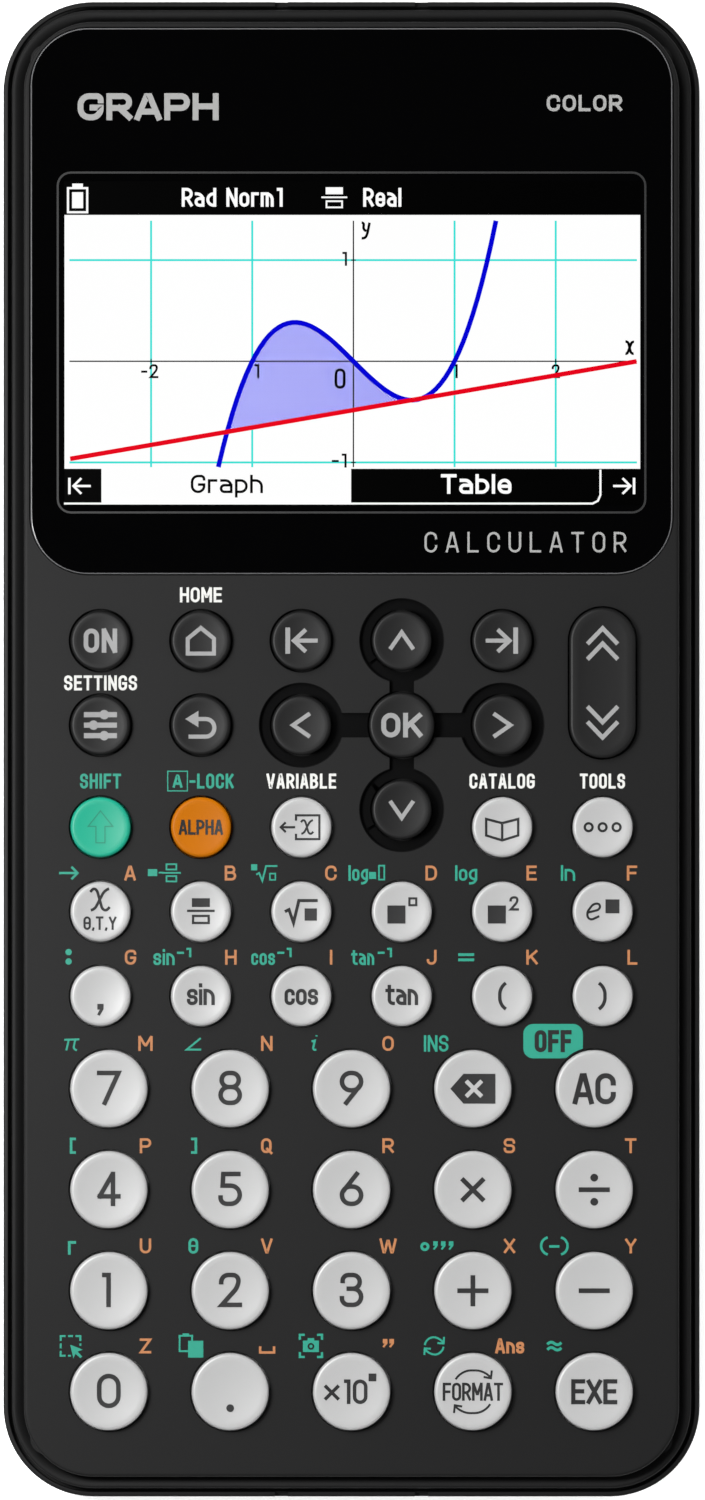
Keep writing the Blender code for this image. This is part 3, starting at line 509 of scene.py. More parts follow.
# ---------------------------------------------------------------- lettering and icons
FONT = {
    "A": "0,0 2.3,10 3.1,10 5.4,0 | 0.9,2.7 4.5,2.7",
    "B": "0,0 0,10 | 0,10 4.8,10r 4.8,5.3r 0,5.3 | 0,5.3 5.3,5.3r 5.3,0r 0,0",
    "C": "5.2,7.2 5.2,10r 0,10r 0,0r 5.2,0r 5.2,2.8",
    "D": "c 0,0 0,10 5.2,10r 5.2,0r",
    "E": "4.6,10 0,10 0,0 4.6,0 | 0,5.2 4.1,5.2",
    "F": "4.6,10 0,10 0,0 | 0,5.0 4.1,5.0",
    "G": "5.2,8 5.2,10r 0,10r 0,0r 5.2,0r 5.2,4.6 3.1,4.6",
    "H": "0,0 0,10 | 5.2,0 5.2,10 | 0,5.2 5.2,5.2",
    "I": "0,0 0,10",
    "J": "4.2,10 4.2,0r 0,0r 0,2.6",
    "K": "0,0 0,10 | 5.0,9.8 0.6,4.4 | 1.9,5.9 5.2,0.2",
    "L": "0,10 0,0 4.5,0",
    "M": "0,0 0,10 | 6.4,0 6.4,10 | 0.3,10 2.9,3.6 3.5,3.6 6.1,10",
    "N": "0,0 0,10 | 5.2,0 5.2,10 | 0.2,10 5,0",
    "O": "c 0,0r 5.2,0r 5.2,10r 0,10r",
    "P": "0,0 0,10 | 0,10 5.1,10r 5.1,4.4r 0,4.4",
    "Q": "c 0,0r 5.2,0r 5.2,10r 0,10r | 3.2,2.4 5.8,-0.8",
    "R": "0,0 0,10 | 0,10 5.1,10r 5.1,4.4r 0,4.4 | 2.6,4.4 5.1,0.2",
    "S": "5,7.6 5,10r 0,10r 0,5.2r 5,5.2r 5,0r 0,0r 0,2.4",
    "T": "0,10 5.2,10 | 2.6,10 2.6,0",
    "U": "0,10 0,0r 5.2,0r 5.2,10",
    "V": "0,10 2.5,0 3.1,0 5.6,10",
    "W": "0,10 1.6,0 2.2,0 3.7,9 4.3,9 5.8,0 6.4,0 8,10",
    "X": "0.1,9.8 5.3,0.2 | 0.1,0.2 5.3,9.8",
    "Y": "0.1,9.8 2.7,4.6 5.3,9.8 | 2.7,4.8 2.7,0",
    "Z": "0,10 5,10 0,0 5,0",
    "a": "0.2,7.2 4.4,7.2r 4.4,0 | 4.4,4.2 0,4.2r 0,0r 4.4,0",
    "b": "0,10 0,0 | 0,0 4.4,0r 4.4,7.2r 0,7.2",
    "c": "4.1,5.4 4.1,7.2r 0,7.2r 0,0r 4.1,0r 4.1,1.8",
    "d": "4.4,10 4.4,0 | 4.4,0 0,0r 0,7.2r 4.4,7.2",
    "e": "4.4,1.6 4.4,0r 0,0r 0,7.2r 4.4,7.2r 4.4,3.6 | 4.4,3.6 0,3.6",
    "g": "4.4,7.2 0,7.2r 0,0.4r 4.4,0.4 | 4.4,7.2 4.4,-2.8r 0.2,-2.8",
    "h": "0,0 0,10 | 0,7.2 4.4,7.2r 4.4,0",
    "i": "0,0 0,7 | 0,9.9 0,10.3",
    "l": "0,10 0,0",
    "m": "0,0 0,7.2 6.4,7.2r 6.4,0 | 3.2,7.2 3.2,0",
    "n": "0,0 0,7.2 4.4,7.2r 4.4,0",
    "o": "c 0,0r 4.4,0r 4.4,7.2r 0,7.2r",
    "p": "0,-2.8 0,7.2 4.4,7.2r 4.4,0r 0,0",
    "r": "0,0 0,7.2 3.0,7.2",
    "s": "4,5.6 4,7.2r 0,7.2r 0,3.7r 4.1,3.7r 4.1,0r 0,0r 0,1.6",
    "t": "1.4,9.4 1.4,0r 3.8,0 | 0,7.2 3.6,7.2",
    "0": "c 0,0r 5.6,0r 5.6,10r 0,10r",
    "1": "0.8,10 2.6,10 2.6,0",
    "2": "0.2,7.6 0.2,10r 5.4,10r 5.4,6.2r 0.4,0 5.8,0",
    "3": "0.2,8 0.2,10r 5.2,10r 5.2,5.4r 2,5.4 | 2,5.4 5.6,5.4r 5.6,0r 0,0r 0,2.2",
    "4": "4.3,10 4.3,0 | 3.9,9.5 0.2,2.6 | 0.2,2.5 6,2.5",
    "5": "5.2,10 0.8,10 0.6,6.1 5.6,6.1r 5.6,0r 0,0r 0,2.1",
    "6": "c 0,0r 5.7,0r 5.7,5.8r 0,5.8r | 4.4,10 0.5,4.4",
    "7": "0,10 5.5,10 1.6,0",
    "8": "c 0.3,5.3r 5.3,5.3r 5.3,10r 0.3,10r | c 0,0r 5.6,0r 5.6,5.3r 0,5.3r",
    "9": "c 0,4.2r 5.7,4.2r 5.7,10r 0,10r | 1.3,0 5.2,5.6",
    "(": "2.2,11.4 0,9.4r 0,0.6r 2.2,-1.4",
    ")": "0,11.4 2.2,9.4r 2.2,0.6r 0,-1.4",
    "[": "2,11 0,11 0,-1 2,-1",
    "]": "0,11 2,11 2,-1 0,-1",
    ",": "0.5,0.3 0.1,-0.8",
    "=": "0,3.2 5,3.2 | 0,6.8 5,6.8",
    "-": "0,4.6 3.2,4.6",
}


def soften(points, rounded, closed, corner):
    """Replace each point that is marked round with a smooth bend no bigger than corner."""
    made = []
    count = len(points)
    for index, point in enumerate(points):
        inner = closed or 0 < index < count - 1
        if not (rounded[index] and inner):
            made.append(point)
            continue
        reach = corner
        for near in (index - 1, (index + 1) % count):
            length = (points[near] - point).length
            near_round = rounded[near] and (closed or 0 < near % count < count - 1)
            reach = min(reach, length * (0.5 if near_round else 0.98))
        start = point + (points[index - 1] - point).normalized() * reach
        end = point + (points[(index + 1) % count] - point).normalized() * reach
        bend = 0.5523
        steps = 6
        for step in range(steps + 1):
            t = step / steps
            first, last = start.lerp(point, bend), end.lerp(point, bend)
            parts = start * (1 - t) ** 3 + first * 3 * t * (1 - t) ** 2
            made.append(parts + last * 3 * t * t * (1 - t) + end * t**3)
    return made


def read_path(words, place, across, up, corner):
    """Yield a path's strokes as (points, closed): "x,y" points, r for a round one, c for a closed stroke."""
    for stroke in words.split("|"):
        marks = stroke.split()
        closed = marks[0] == "c"
        points, rounded = [], []
        for mark in marks[1:] if closed else marks:
            x, y = (float(number) for number in mark.rstrip("r").split(","))
            points.append(Vector((place[0] + x * across, place[1] + y * up)))
            rounded.append(mark.endswith("r"))
        yield soften(points, rounded, closed, corner), closed


def lengthen(points, by):
    """Carry an open stroke on past both of its ends."""
    first = points[0] + (points[0] - points[1]).normalized() * by
    last = points[-1] + (points[-1] - points[-2]).normalized() * by
    return [first, *points[1:-1], last]


class Print:
    """A thin raised print in one colour: strokes gathered by their width, and filled shapes."""

    def __init__(self):
        self.strokes = {}
        self.areas = []

    def line(self, points, width, closed=False):
        """Add a stroke through points in millimetres, long stretches split so that it follows a curve."""
        points = [points[0]] + [b for a, b in zip(points, points[1:]) if (b - a).length > 0.001]
        if closed and (points[0] - points[-1]).length < 0.001:
            points.pop()
        path = []
        pairs = list(zip(points, points[1:] + points[:1] if closed else points[1:]))
        for start, end in pairs:
            parts = max(1, math.ceil((end - start).length / 0.9))
            path += [start.lerp(end, part / parts) for part in range(parts)]
        if not closed:
            path.append(points[-1])
        self.strokes.setdefault(width, []).append((path, closed))
        return self

    def path(self, words, width, place=(0.0, 0.0), scale=1.0, corner=0.6):
        for points, closed in read_path(words, place, scale, scale, corner):
            self.line(points, width, closed)
        return self

    def area(self, words, place=(0.0, 0.0), scale=1.0, corner=0.6):
        self.areas += [points for points, _ in read_path(words, place, scale, scale, corner)]
        return self

    def bar(self, width, height, place=(0.0, 0.0)):
        x, y = width / 2, height / 2
        return self.area(f"c {-x},{-y} {x},{-y} {x},{y} {-x},{y}", place)

    def frame(self, width, height, line, place=(0.0, 0.0), corner=0.0):
        """The outline of a box, its line inside the given size."""
        x, y = (width - line) / 2, (height - line) / 2
        mark = "r" if corner else ""
        words = " ".join(f"{a * x},{b * y}{mark}" for a, b in ((-1, -1), (1, -1), (1, 1), (-1, 1)))
        return self.path("c " + words, line, place, corner=corner)

    def ring(self, diameter, line, place=(0.0, 0.0)):
        r = (diameter - line) / 2
        return self.path(f"c {-r},{-r}r {r},{-r}r {r},{r}r {-r},{r}r", line, place, corner=r)

    def dot(self, diameter, place=(0.0, 0.0)):
        r = diameter / 2
        return self.area(f"c {-r},{-r}r {r},{-r}r {r},{r}r {-r},{r}r", place, corner=r)

    def text(self, words, place, height, width, weight, space=0.13):
        """Centre a word on a place, its capitals so high and the whole so wide."""
        up = (height - weight) / 10
        widths = []
        for letter in words:
            xs = [float(m.strip("r").split(",")[0]) for m in FONT.get(letter, "").split() if "," in m]
            widths.append(max(xs) if xs else 2.2)
        gap = space * height + weight
        across = (width - weight - gap * (len(words) - 1)) / max(sum(widths), 0.1)
        x = place[0] - (width - weight) / 2
        y = place[1] - (height - weight) / 2
        for letter, letter_width in zip(words, widths):
            if letter in FONT:
                corner = height * 0.32
                for points, closed in read_path(FONT[letter], (x, y), across, up, corner):
                    self.line(points if closed else lengthen(points, weight / 2), weight, closed)
            x += letter_width * across + gap
        return self

    def make(self, name, body, finish, middle, surface, height=PRINT_HEIGHT, slot=None):
        """Build it on a surface, which gives the height at an x and y, and let it ride on a body."""
        bm = bmesh.new()
        for width, strokes in self.strokes.items():
            wall = bmesh.new()
            for count, (points, closed) in enumerate(strokes):
                verts = [wall.verts.new((point.x * MM, point.y * MM, 0.0)) for point in points]
                edges = [wall.edges.new(pair) for pair in zip(verts, verts[1:])]
                if closed:
                    edges.append(wall.edges.new((verts[-1], verts[0])))
                raised = bmesh.ops.extrude_edge_only(wall, edges=edges)
                upper = [part for part in raised["geom"] if isinstance(part, bmesh.types.BMVert)]
                rise = height + PRINT_SINK + count % PRINT_STEPS * PRINT_STEP
                bmesh.ops.translate(wall, vec=(0, 0, rise), verts=upper)
            stroke = add_piece("stroke", wall, merge=False)
            solid = stroke.modifiers.new("solid", "SOLIDIFY")
            solid.thickness = width * MM
            solid.offset = 0.0
            solid.use_even_offset = True
            settle(stroke)
            bm.from_mesh(stroke.data)
            bpy.data.objects.remove(stroke)
        for count, points in enumerate(self.areas):
            tile = bmesh.new()
            face = tile.faces.new([tile.verts.new((point.x * MM, point.y * MM, 0.0)) for point in points])
            raised = bmesh.ops.extrude_face_region(tile, geom=[face], use_keep_orig=True)
            upper = [part for part in raised["geom"] if isinstance(part, bmesh.types.BMVert)]
            rise = height + PRINT_SINK + (count % PRINT_STEPS + 0.5) * PRINT_STEP
            bmesh.ops.translate(tile, vec=(0, 0, rise), verts=upper)
            if body != "case":
                slice_up(tile)
            mesh = bpy.data.meshes.new("tile")
            tile.to_mesh(mesh)
            tile.free()
            bm.from_mesh(mesh)
            bpy.data.meshes.remove(mesh)
        for vert in bm.verts:
            x, y = vert.co.x + middle[0], vert.co.y + middle[1]
            vert.co = (x, y, vert.co.z - PRINT_SINK + surface(x, y))
        piece = add_piece(name, bm, finish, smooth=20.0, merge=False)
        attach(piece, body)
        return piece


def slice_up(tile):
    """Cut a flat shape along a square net, so that it can follow a dished key."""
    step = 0.00075
    for along in range(-4, 5):
        for direction in ((1, 0, 0), (0, 1, 0)):
            place = [part * along * step for part in direction]
            everything = tile.verts[:] + tile.edges[:] + tile.faces[:]
            bmesh.ops.bisect_plane(tile, geom=everything, plane_co=place, plane_no=direction)


def on_face(x, y):
    return FACE_Z


def on_window(x, y):
    return WINDOW_HIGH.z


# ---------------------------------------------------------------- front shell
def middle_of(name):
    low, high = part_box(name)
    return Vector(((low.x + high.x) / 2, (low.y + high.y) / 2))


def radius_of(name):
    low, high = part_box(name)
    return (high.x - low.x) / 2 - FLANGE_WIDTH


def front_shell():
    """The face with its shoulder, recess, key holes and window pocket."""
    lip = 0.0003
    outside = [(LIP_INSET, SKIRT_Z)]
    outside += arc((LIP_INSET + lip, SHOULDER_Z - lip), lip, 180, 90, 4)
    outside += [
        (LIP_INSET + 0.00055, SHOULDER_Z - 0.00004),
        (LIP_INSET + 0.00085, SHOULDER_Z - 0.00012),
        (LIP_INSET + 0.00115, SHOULDER_Z - 0.00025),
        (FACE_INSET, SHOULDER_Z - 0.00045),
    ]
    edge = 0.0003
    outside += arc((FACE_INSET + edge, FACE_Z - edge), edge, 180, 90, 4)
    outside.append((FACE_INSET + edge + 0.0002, FACE_Z))  # keeps the edge's bend out of the flat face
    shell = case_loft("front_shell_detail", outside, "shell")
    below = SKIRT_Z - OUTSIDE
    skirt = LIP_INSET + SHELL_WALL
    inner = FACE_INSET + SHELL_WALL
    hollows = [
        case_loft("skirt hollow", [(skirt, below), (skirt, SHOULDER_Z - SHOULDER_DISH - SHELL_WALL)]),
        case_loft("case hollow", [(inner, below), (inner, SHELF_Z)]),
        block(
            "keypad hollow",
            (-HALF_WIDTH + inner, -HALF_LENGTH + inner, SKIRT_Z),
            (HALF_WIDTH - inner, WINDOW_LOW.y - 0.0012, FACE_UNDER_Z),
            CORNER_RADIUS - inner,
        ),
    ]
    shape(shell, "DIFFERENCE", hollows)
    shape(shell, "UNION", front_bosses())
    shape(shell, "DIFFERENCE", [window_pocket(), glass_opening(), *cursor_recess(), *key_holes()])
    pilot = [(0.0008, BAY_TOP_Z), (0.0008, BOARD_Z + 0.0026)]
    shape(shell, "DIFFERENCE", [posts("pilot holes", pilot, BOSS_PLACES, 16)])
    darken_recess(shell)
    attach(shell, "case")
    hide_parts("front_shell")


def front_bosses():
    foot = BOARD_Z
    low_top, high_top = SHELF_Z + 0.0005, FACE_UNDER_Z + 0.00075
    under_window = [place for place in BOSS_PLACES if place[1] > WINDOW_LOW.y]
    others = [place for place in BOSS_PLACES if place[1] < WINDOW_LOW.y]
    return [
        posts("window bosses", [(BOSS_RADIUS, foot), (BOSS_RADIUS, low_top)], under_window, 20),
        posts("keypad bosses", [(BOSS_RADIUS, foot), (BOSS_RADIUS, high_top)], others, 20),
    ]


def window_pocket():
    low = (WINDOW_LOW.x - CLEARANCE, WINDOW_LOW.y - CLEARANCE, WINDOW_SEAT_Z)
    high = (WINDOW_HIGH.x + CLEARANCE, WINDOW_HIGH.y + CLEARANCE, FACE_Z + OUTSIDE)
    return block("window pocket", low, high, 0.0070 + CLEARANCE, steps=16)


def glass_opening():
    border = 0.0014 - CLEARANCE
    low = (MODULE_LOW.x + border, MODULE_LOW.y + border, SHELF_Z - OUTSIDE)
    high = (MODULE_HIGH.x - border, MODULE_HIGH.y - border, WINDOW_SEAT_Z + OUTSIDE)
    return block("glass opening", low, high, 0.0008 + CLEARANCE)


def flared(radius, floor, flare):
    """A hole's tool whose edge is eased where it comes out of the face."""
    wide = radius + 2 * flare
    return [(radius, floor), (radius, FACE_Z - flare), (wide, FACE_Z + flare), (wide, FACE_Z + OUTSIDE)]


def cursor_recess():
    """A round recess about each cursor key, and the cross of channels that links them."""
    radius = radius_of("key_cursor_up") + 0.00143
    flare = 0.00012
    middles = [middle_of(name) for name in CURSOR_KEYS]
    circles = posts("cursor circles", flared(radius, RECESS_Z, flare), middles, 64)
    half = 0.0015
    top = FACE_Z + OUTSIDE
    reach = COLUMN_PITCH
    down_y = middle_of("key_cursor_down").y
    across = [((OK_X - reach, CONTROL_2_Y - half, RECESS_Z), (OK_X + reach, CONTROL_2_Y + half, top))]
    along = [((OK_X - half, down_y, RECESS_Z), (OK_X + half, CONTROL_Y, top))]
    return circles, boxes("channel across", across), boxes("channel along", along)


def key_holes():
    """A hole for each round key, and one for the page rocker."""
    bm = bmesh.new()
    floor = FACE_UNDER_Z - CLEARANCE
    for name in KEYS:
        radius = radius_of(name) + KEY_GAP
        profile = [(radius, floor), (radius, FACE_Z + OUTSIDE)]
        if name not in CURSOR_KEYS:
            profile = flared(radius, floor, 0.00005)
        turn(bm, [(0.0, profile[0][1]), *profile, (0.0, profile[-1][1])], middle_of(name), 64)
    rocker = ROCKER_HIGH - ROCKER_LOW
    half_width = (rocker.x / 2 - ROCKER_EAR) + KEY_GAP
    middle = middle_of("page_rocker")
    half_length = rocker.y / 2 + KEY_GAP
    low = (middle.x - half_width, middle.y - half_length, floor)
    high = (middle.x + half_width, middle.y + half_length, FACE_Z + OUTSIDE)
    return add_piece("round key holes", bm), block("rocker hole", low, high, half_width * 0.999, steps=20)


def darken_recess(shell):
    """The recess floor and its walls are painted black."""
    shell.data.materials.append(FINISHES["recess"])
    black = len(shell.data.materials) - 1
    reach = COLUMN_PITCH + 0.0052
    for face in shell.data.polygons:
        near = abs(face.center.x - OK_X) < reach and abs(face.center.y - CONTROL_2_Y) < reach
        floor = abs(face.center.z - RECESS_Z) < 1e-5 and face.normal.z > 0.9
        wall = RECESS_Z + 1e-5 < face.center.z < FACE_Z - 0.00015 and abs(face.normal.z) < 0.1
        if near and (floor or wall):
            face.material_index = black


# ---------------------------------------------------------------- rear shell
BAY_LOW = Vector((-0.02205, -0.06005, 0.0))
BAY_HIGH = Vector((0.02205, -0.00995, 0.0))
HINGE_Y = -0.06285
HOOK_X = 0.0140
HOOK_REACH = 0.0018


def rear_shell():
    """The tray with the battery bay, the screw bosses and a thin rim round the front shell."""
    profile = list(arc((BACK_EDGE_RADIUS, BACK_EDGE_RADIUS), BACK_EDGE_RADIUS, 270, 180, 8))
    rim = 0.0002
    profile += list(arc((rim, RIM_Z - rim), rim, 180, 90, 3))
    profile += [
        (RIM_WIDTH - 0.00008, RIM_Z),
        (RIM_WIDTH, RIM_Z - 0.00008),
        (RIM_WIDTH, SEAT_Z),
        (REAR_WALL, SEAT_Z),
        (REAR_WALL, BACK_EDGE_RADIUS),
        (BACK_EDGE_RADIUS, REAR_FLOOR),
    ]
    shell = case_loft("rear_shell_detail", profile, "rear")
    wall = 0.0012
    bay_low = (BAY_LOW.x - wall, BAY_LOW.y - wall, REAR_FLOOR / 2)
    bay = [(bay_low, (BAY_HIGH.x + wall, BAY_HIGH.y + wall, BAY_TOP_Z + 0.0006))]
    border = CLEARANCE + HOOK_REACH + wall
    ledge_low = (DOOR_LOW.x - border, HINGE_Y - border, REAR_FLOOR / 2)
    ledge_high = (DOOR_HIGH.x + border, DOOR_HIGH.y + border, 0.00384)
    side = [(REAR_BOSS_RADIUS, REAR_FLOOR * 0.8), (REAR_BOSS_RADIUS, BOARD_Z - CLEARANCE)]
    bosses = posts("rear bosses", side, BOSS_PLACES, 24)
    reset = [(0.0009, -OUTSIDE), (0.0009, REAR_FLOOR + 0.0020)]
    shape(shell, "UNION", [boxes("bay block", bay), block("ledge", ledge_low, ledge_high, 0.0020), bosses])
    recess_low = (DOOR_LOW.x - CLEARANCE, HINGE_Y - CLEARANCE, -OUTSIDE)
    recess_high = (DOOR_HIGH.x + CLEARANCE, DOOR_HIGH.y + CLEARANCE, 0.0015)
    hollow = [((BAY_LOW.x, BAY_LOW.y, -OUTSIDE), (BAY_HIGH.x, BAY_HIGH.y, BAY_TOP_Z))]
    notch = [((-0.0070, DOOR_HIGH.y, -OUTSIDE), (0.0070, DOOR_HIGH.y + 0.0035, 0.0008))]
    tools = [
        block("door recess", recess_low, recess_high, 0.0023),
        boxes("bay hollow", hollow),
        hook_pockets(),
        boxes("finger notch", notch),
        posts("screw head holes", [(0.0020, -OUTSIDE), (0.0020, SCREW_SEAT_Z)], BOSS_PLACES, 32),
        posts("screw shank holes", [(0.0012, 0.0070), (0.0012, BOARD_Z + OUTSIDE)], BOSS_PLACES, 16),
        rail_grooves(),
        cover_notches(),
        socket_hole(),
        posts("reset hole", reset, [(0.0240, HALF_LENGTH - 0.0600)], 24),
    ]
    shape(shell, "DIFFERENCE", tools)
    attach(shell, "case")
    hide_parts("rear_shell")


def hook_pockets():
    corners = []
    sweep = 0.00234
    for side in (-1, 1):
        x = side * HOOK_X
        low = (x - 0.0033, HINGE_Y - sweep - CLEARANCE, 0.0006)
        corners.append((low, (x + 0.0033, HINGE_Y + HOOK_REACH, sweep + CLEARANCE)))
    return boxes("hook pockets", corners)


def rail_grooves():
    """The long grooves down both sides that a slide-on hard cover runs in."""
    bm = bmesh.new()
    top = RIM_Z - 0.0036
    length = HALF_LENGTH - 0.0150
    for side in (-1, 1):
        ends = sorted((side * (HALF_WIDTH - 0.0006), side * (HALF_WIDTH + OUTSIDE)))
        add_box(bm, (ends[0], -length, top - 0.0014), (ends[1], length, top))
    return add_piece("rail grooves", bm)


def cover_notches():
    """Four small notches through the rim, two at each end, that the slide-on cover clicks into."""
    corners = []
    for end in (-1, 1):
        ends = sorted((end * (HALF_LENGTH - RIM_WIDTH - 0.0002), end * (HALF_LENGTH + OUTSIDE)))
        for x in (-0.00855, 0.00855):
            corners.append(((x - 0.0008, ends[0], RIM_Z - 0.0011), (x + 0.0008, ends[1], RIM_Z + OUTSIDE)))
    return boxes("cover notches", corners)


SOCKET = Vector((0.0089, 0.0074, 0.0032))
SOCKET_FRONT = HALF_LENGTH - REAR_WALL - CLEARANCE


def socket_hole():
    half = SOCKET.x / 2 - 0.00005
    low = (-half, HALF_LENGTH - REAR_WALL - OUTSIDE / 4, BOARD_Z - SOCKET.z + 0.00005)
    high = (half, HALF_LENGTH + OUTSIDE, BOARD_Z - 0.00005)
    return block_along_y("socket hole", low, high, 0.0011)


def block_along_y(name, low, high, radius, *finishes, steps=8):
    """A block whose round corners are seen from the display end."""
    bm = bmesh.new()
    corners = ((low[0], low[2]), (high[0], high[2]))
    rings = [rounded_ring(bm, *corners, radius, y, steps) for y in (low[1], high[1])]
    skin(bm, rings)
    for vert in bm.verts:
        vert.co = (vert.co.x, vert.co.z, vert.co.y)
    return add_piece(name, bm, *finishes)


# ---------------------------------------------------------------- battery door, cells and their contacts
def battery_door():
    """The door with its hooks, three grip grooves and a small arrow."""
    low = (DOOR_LOW.x, HINGE_Y, 0.0)
    high = (DOOR_HIGH.x, DOOR_HIGH.y, 0.0012)
    edge = 0.00015
    profile = list(arc((edge, edge), edge, 270, 180, 3)) + [(0.0, high[2] - 0.0001), (0.0001, high[2])]
    door = inset_loft("battery_door_detail", low, high, 0.0020, profile, "rear")
    hooks = []
    for x in (-HOOK_X, HOOK_X):
        hooks.append(((x - 0.0030, HINGE_Y - HOOK_REACH, 0.0009), (x + 0.0030, HINGE_Y + 0.0015, 0.0015)))
    shape(door, "UNION", [boxes("hooks", hooks)])
    grooves = []
    for count in range(3):
        y = DOOR_HIGH.y - 0.0022 - count * 0.0018
        grooves.append(((-0.0070, y - 0.0004, -OUTSIDE), (0.0070, y + 0.0004, 0.0004)))
    shape(door, "DIFFERENCE", [boxes("grip grooves", grooves)])
    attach(door, "battery_door")
    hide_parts("battery_door")
    arrow = Print().area("c 0,-2.2 2.2,0.6 -2.2,0.6")
    middle = (0.0, DOOR_HIGH.y - 0.0110)
    piece = arrow.make("battery_door_arrow", "battery_door", "grey_ink", middle, lambda x, y: -0.00002)
    return piece


def battery_cells():
    """Four cells, each a jacket with a band, a steel can showing at both ends, and its terminal."""
    for number, name in enumerate(CELLS, 1):
        low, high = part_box(name)
        radius = (high.x - low.x) / 2
        middle = (low + high) / 2
        half = (high.y - low.y) / 2
        positive = 1 if number % 2 else -1
        along = (0, positive, 0)
        shoulder = half - 0.0010
        can = bmesh.new()
        inner = radius - 0.00012
        profile = [(0.0, -half), (inner - 0.0008, -half), (inner, -half + 0.0005), (inner, shoulder - 0.0006)]
        profile += [(inner - 0.0006, shoulder), (0.0026, shoulder), (0.0023, shoulder - 0.0001)]
        profile += [(0.0019, shoulder), (0.0019, half - 0.0002), (0.0017, half), (0.0, half)]
        turn(can, profile, middle, 40, along)
        case = add_piece(f"{name}_can", can, "steel")
        sleeve = bmesh.new()
        profile = [(0.0, -half + 0.0006), (inner - 0.0010, -half + 0.0006)]
        profile += [(radius - 0.0002, -half + 0.00025), (radius, -half + 0.0006)]
        profile += [(radius, shoulder - 0.0006), (radius - 0.0003, shoulder - 0.0001)]
        profile += [(inner - 0.0012, shoulder - 0.0003), (0.0, shoulder - 0.0003)]
        turn(sleeve, profile, middle, 40, along)
        jacket = add_piece(f"{name}_jacket", sleeve, "jacket", "copper")
        for piece in (case, jacket):
            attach(piece, "case")
        split_band(jacket, middle, positive, half)
        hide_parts(name)


def split_band(jacket, middle, positive, half):
    """Cut the jacket's mesh where the band starts, and give the end part the band's finish."""
    bm = bmesh.new()
    bm.from_mesh(jacket.data)
    start = middle.y + positive * half * 0.55
    everything = bm.verts[:] + bm.edges[:] + bm.faces[:]
    bmesh.ops.bisect_plane(bm, geom=everything, plane_co=(0, start, 0), plane_no=(0, 1, 0))
    for face in bm.faces:
        beyond = (face.calc_center_median().y - start) * positive > 0
        face.material_index = 1 if beyond else 0
    bm.to_mesh(jacket.data)
    bm.free()


def contacts():
    """A coil spring at each cell's flat end and a plate at each end of the bay."""
    for number, name in enumerate(CELLS, 1):
        low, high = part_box(name)
        middle = (low + high) / 2
        positive = 1 if number % 2 else -1
        flat_end = low.y if positive > 0 else high.y
        wall = BAY_LOW.y if positive > 0 else BAY_HIGH.y
        add_spring(f"battery_spring_{number}", middle, wall, flat_end, -positive)
        other = BAY_HIGH.y if positive > 0 else BAY_LOW.y
        for label, y, side in (("spring_plate", wall, -positive), ("contact_plate", other, positive)):
            ends = sorted((y - side * 0.0001, y - side * 0.0004))
            plate = block_along_y(
                f"battery_{label}_{number}",
                (middle.x - 0.0042, ends[0], middle.z - 0.0042),
                (middle.x + 0.0042, ends[1], middle.z + 0.0042),
                0.0010,
                "steel",
            )
            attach(plate, "case")


def add_spring(name, middle, wall, flat_end, side):
    """A conical coil from the plate on the wall to the cell's flat end."""
    turns, steps, wire = 4, 20, 0.00025
    start = wall - side * (0.0004 + wire)
    end = flat_end + side * wire
    curve = bpy.data.curves.new(name, "CURVE")
    curve.dimensions = "3D"
    curve.bevel_depth = wire
    curve.bevel_resolution = 2
    curve.use_fill_caps = True
    spline = curve.splines.new("POLY")
    spline.points.add(turns * steps)
    for step in range(turns * steps + 1):
        share = step / (turns * steps)
        angle = share * turns * math.tau
        radius = 0.0036 - 0.0016 * share
        y = start + (end - start) * share
        place = (middle.x + radius * math.cos(angle), y, middle.z + radius * math.sin(angle), 1.0)
        spline.points[step].co = place
    coil = bpy.data.objects.new(name, curve)
    bpy.context.scene.collection.objects.link(coil)
    settle_curve(coil, "spring")
    return coil


def settle_curve(obj, finish):
    """Turn a curve into a mesh piece of the same name."""
    bpy.context.view_layer.update()
    seen = obj.evaluated_get(bpy.context.evaluated_depsgraph_get())
    mesh = bpy.data.meshes.new_from_object(seen)
    name = obj.name
    bpy.data.objects.remove(obj)
    piece = bpy.data.objects.new(name, mesh)
    bpy.context.scene.collection.objects.link(piece)
    mesh.materials.clear()
    mesh.materials.append(FINISHES[finish])
    mesh.shade_smooth()
    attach(piece, "case")


def screws():
    """Six pan head screws with cross recesses, up inside the holes in the back."""
    head_radius, seat = 0.0018, SCREW_SEAT_Z
    for number, place in enumerate(BOSS_PLACES, 1):
        bm = bmesh.new()
        profile = [(0.0, seat - 0.0013)]
        profile += [(head_radius * 0.55, seat - 0.0012), (head_radius * 0.9, seat - 0.0009)]
        profile += [(head_radius, seat - 0.0005), (head_radius, seat - 0.00005)]
        profile += [(0.0007, seat - 0.00005), (0.0007, BOARD_Z + 0.0020), (0.0, BOARD_Z + 0.0022)]
        turn(bm, profile, place, 32)
        screw = add_piece(f"case_screw_{number}", bm, "steel")
        arms = []
        for wide, tall in ((0.0020, 0.00045), (0.00045, 0.0020)):
            low = (place[0] - wide / 2, place[1] - tall / 2, seat - 0.0020)
            arms.append(boxes("arm", [(low, (place[0] + wide / 2, place[1] + tall / 2, seat - 0.0006))]))
        shape(screw, "DIFFERENCE", arms)
        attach(screw, "case")


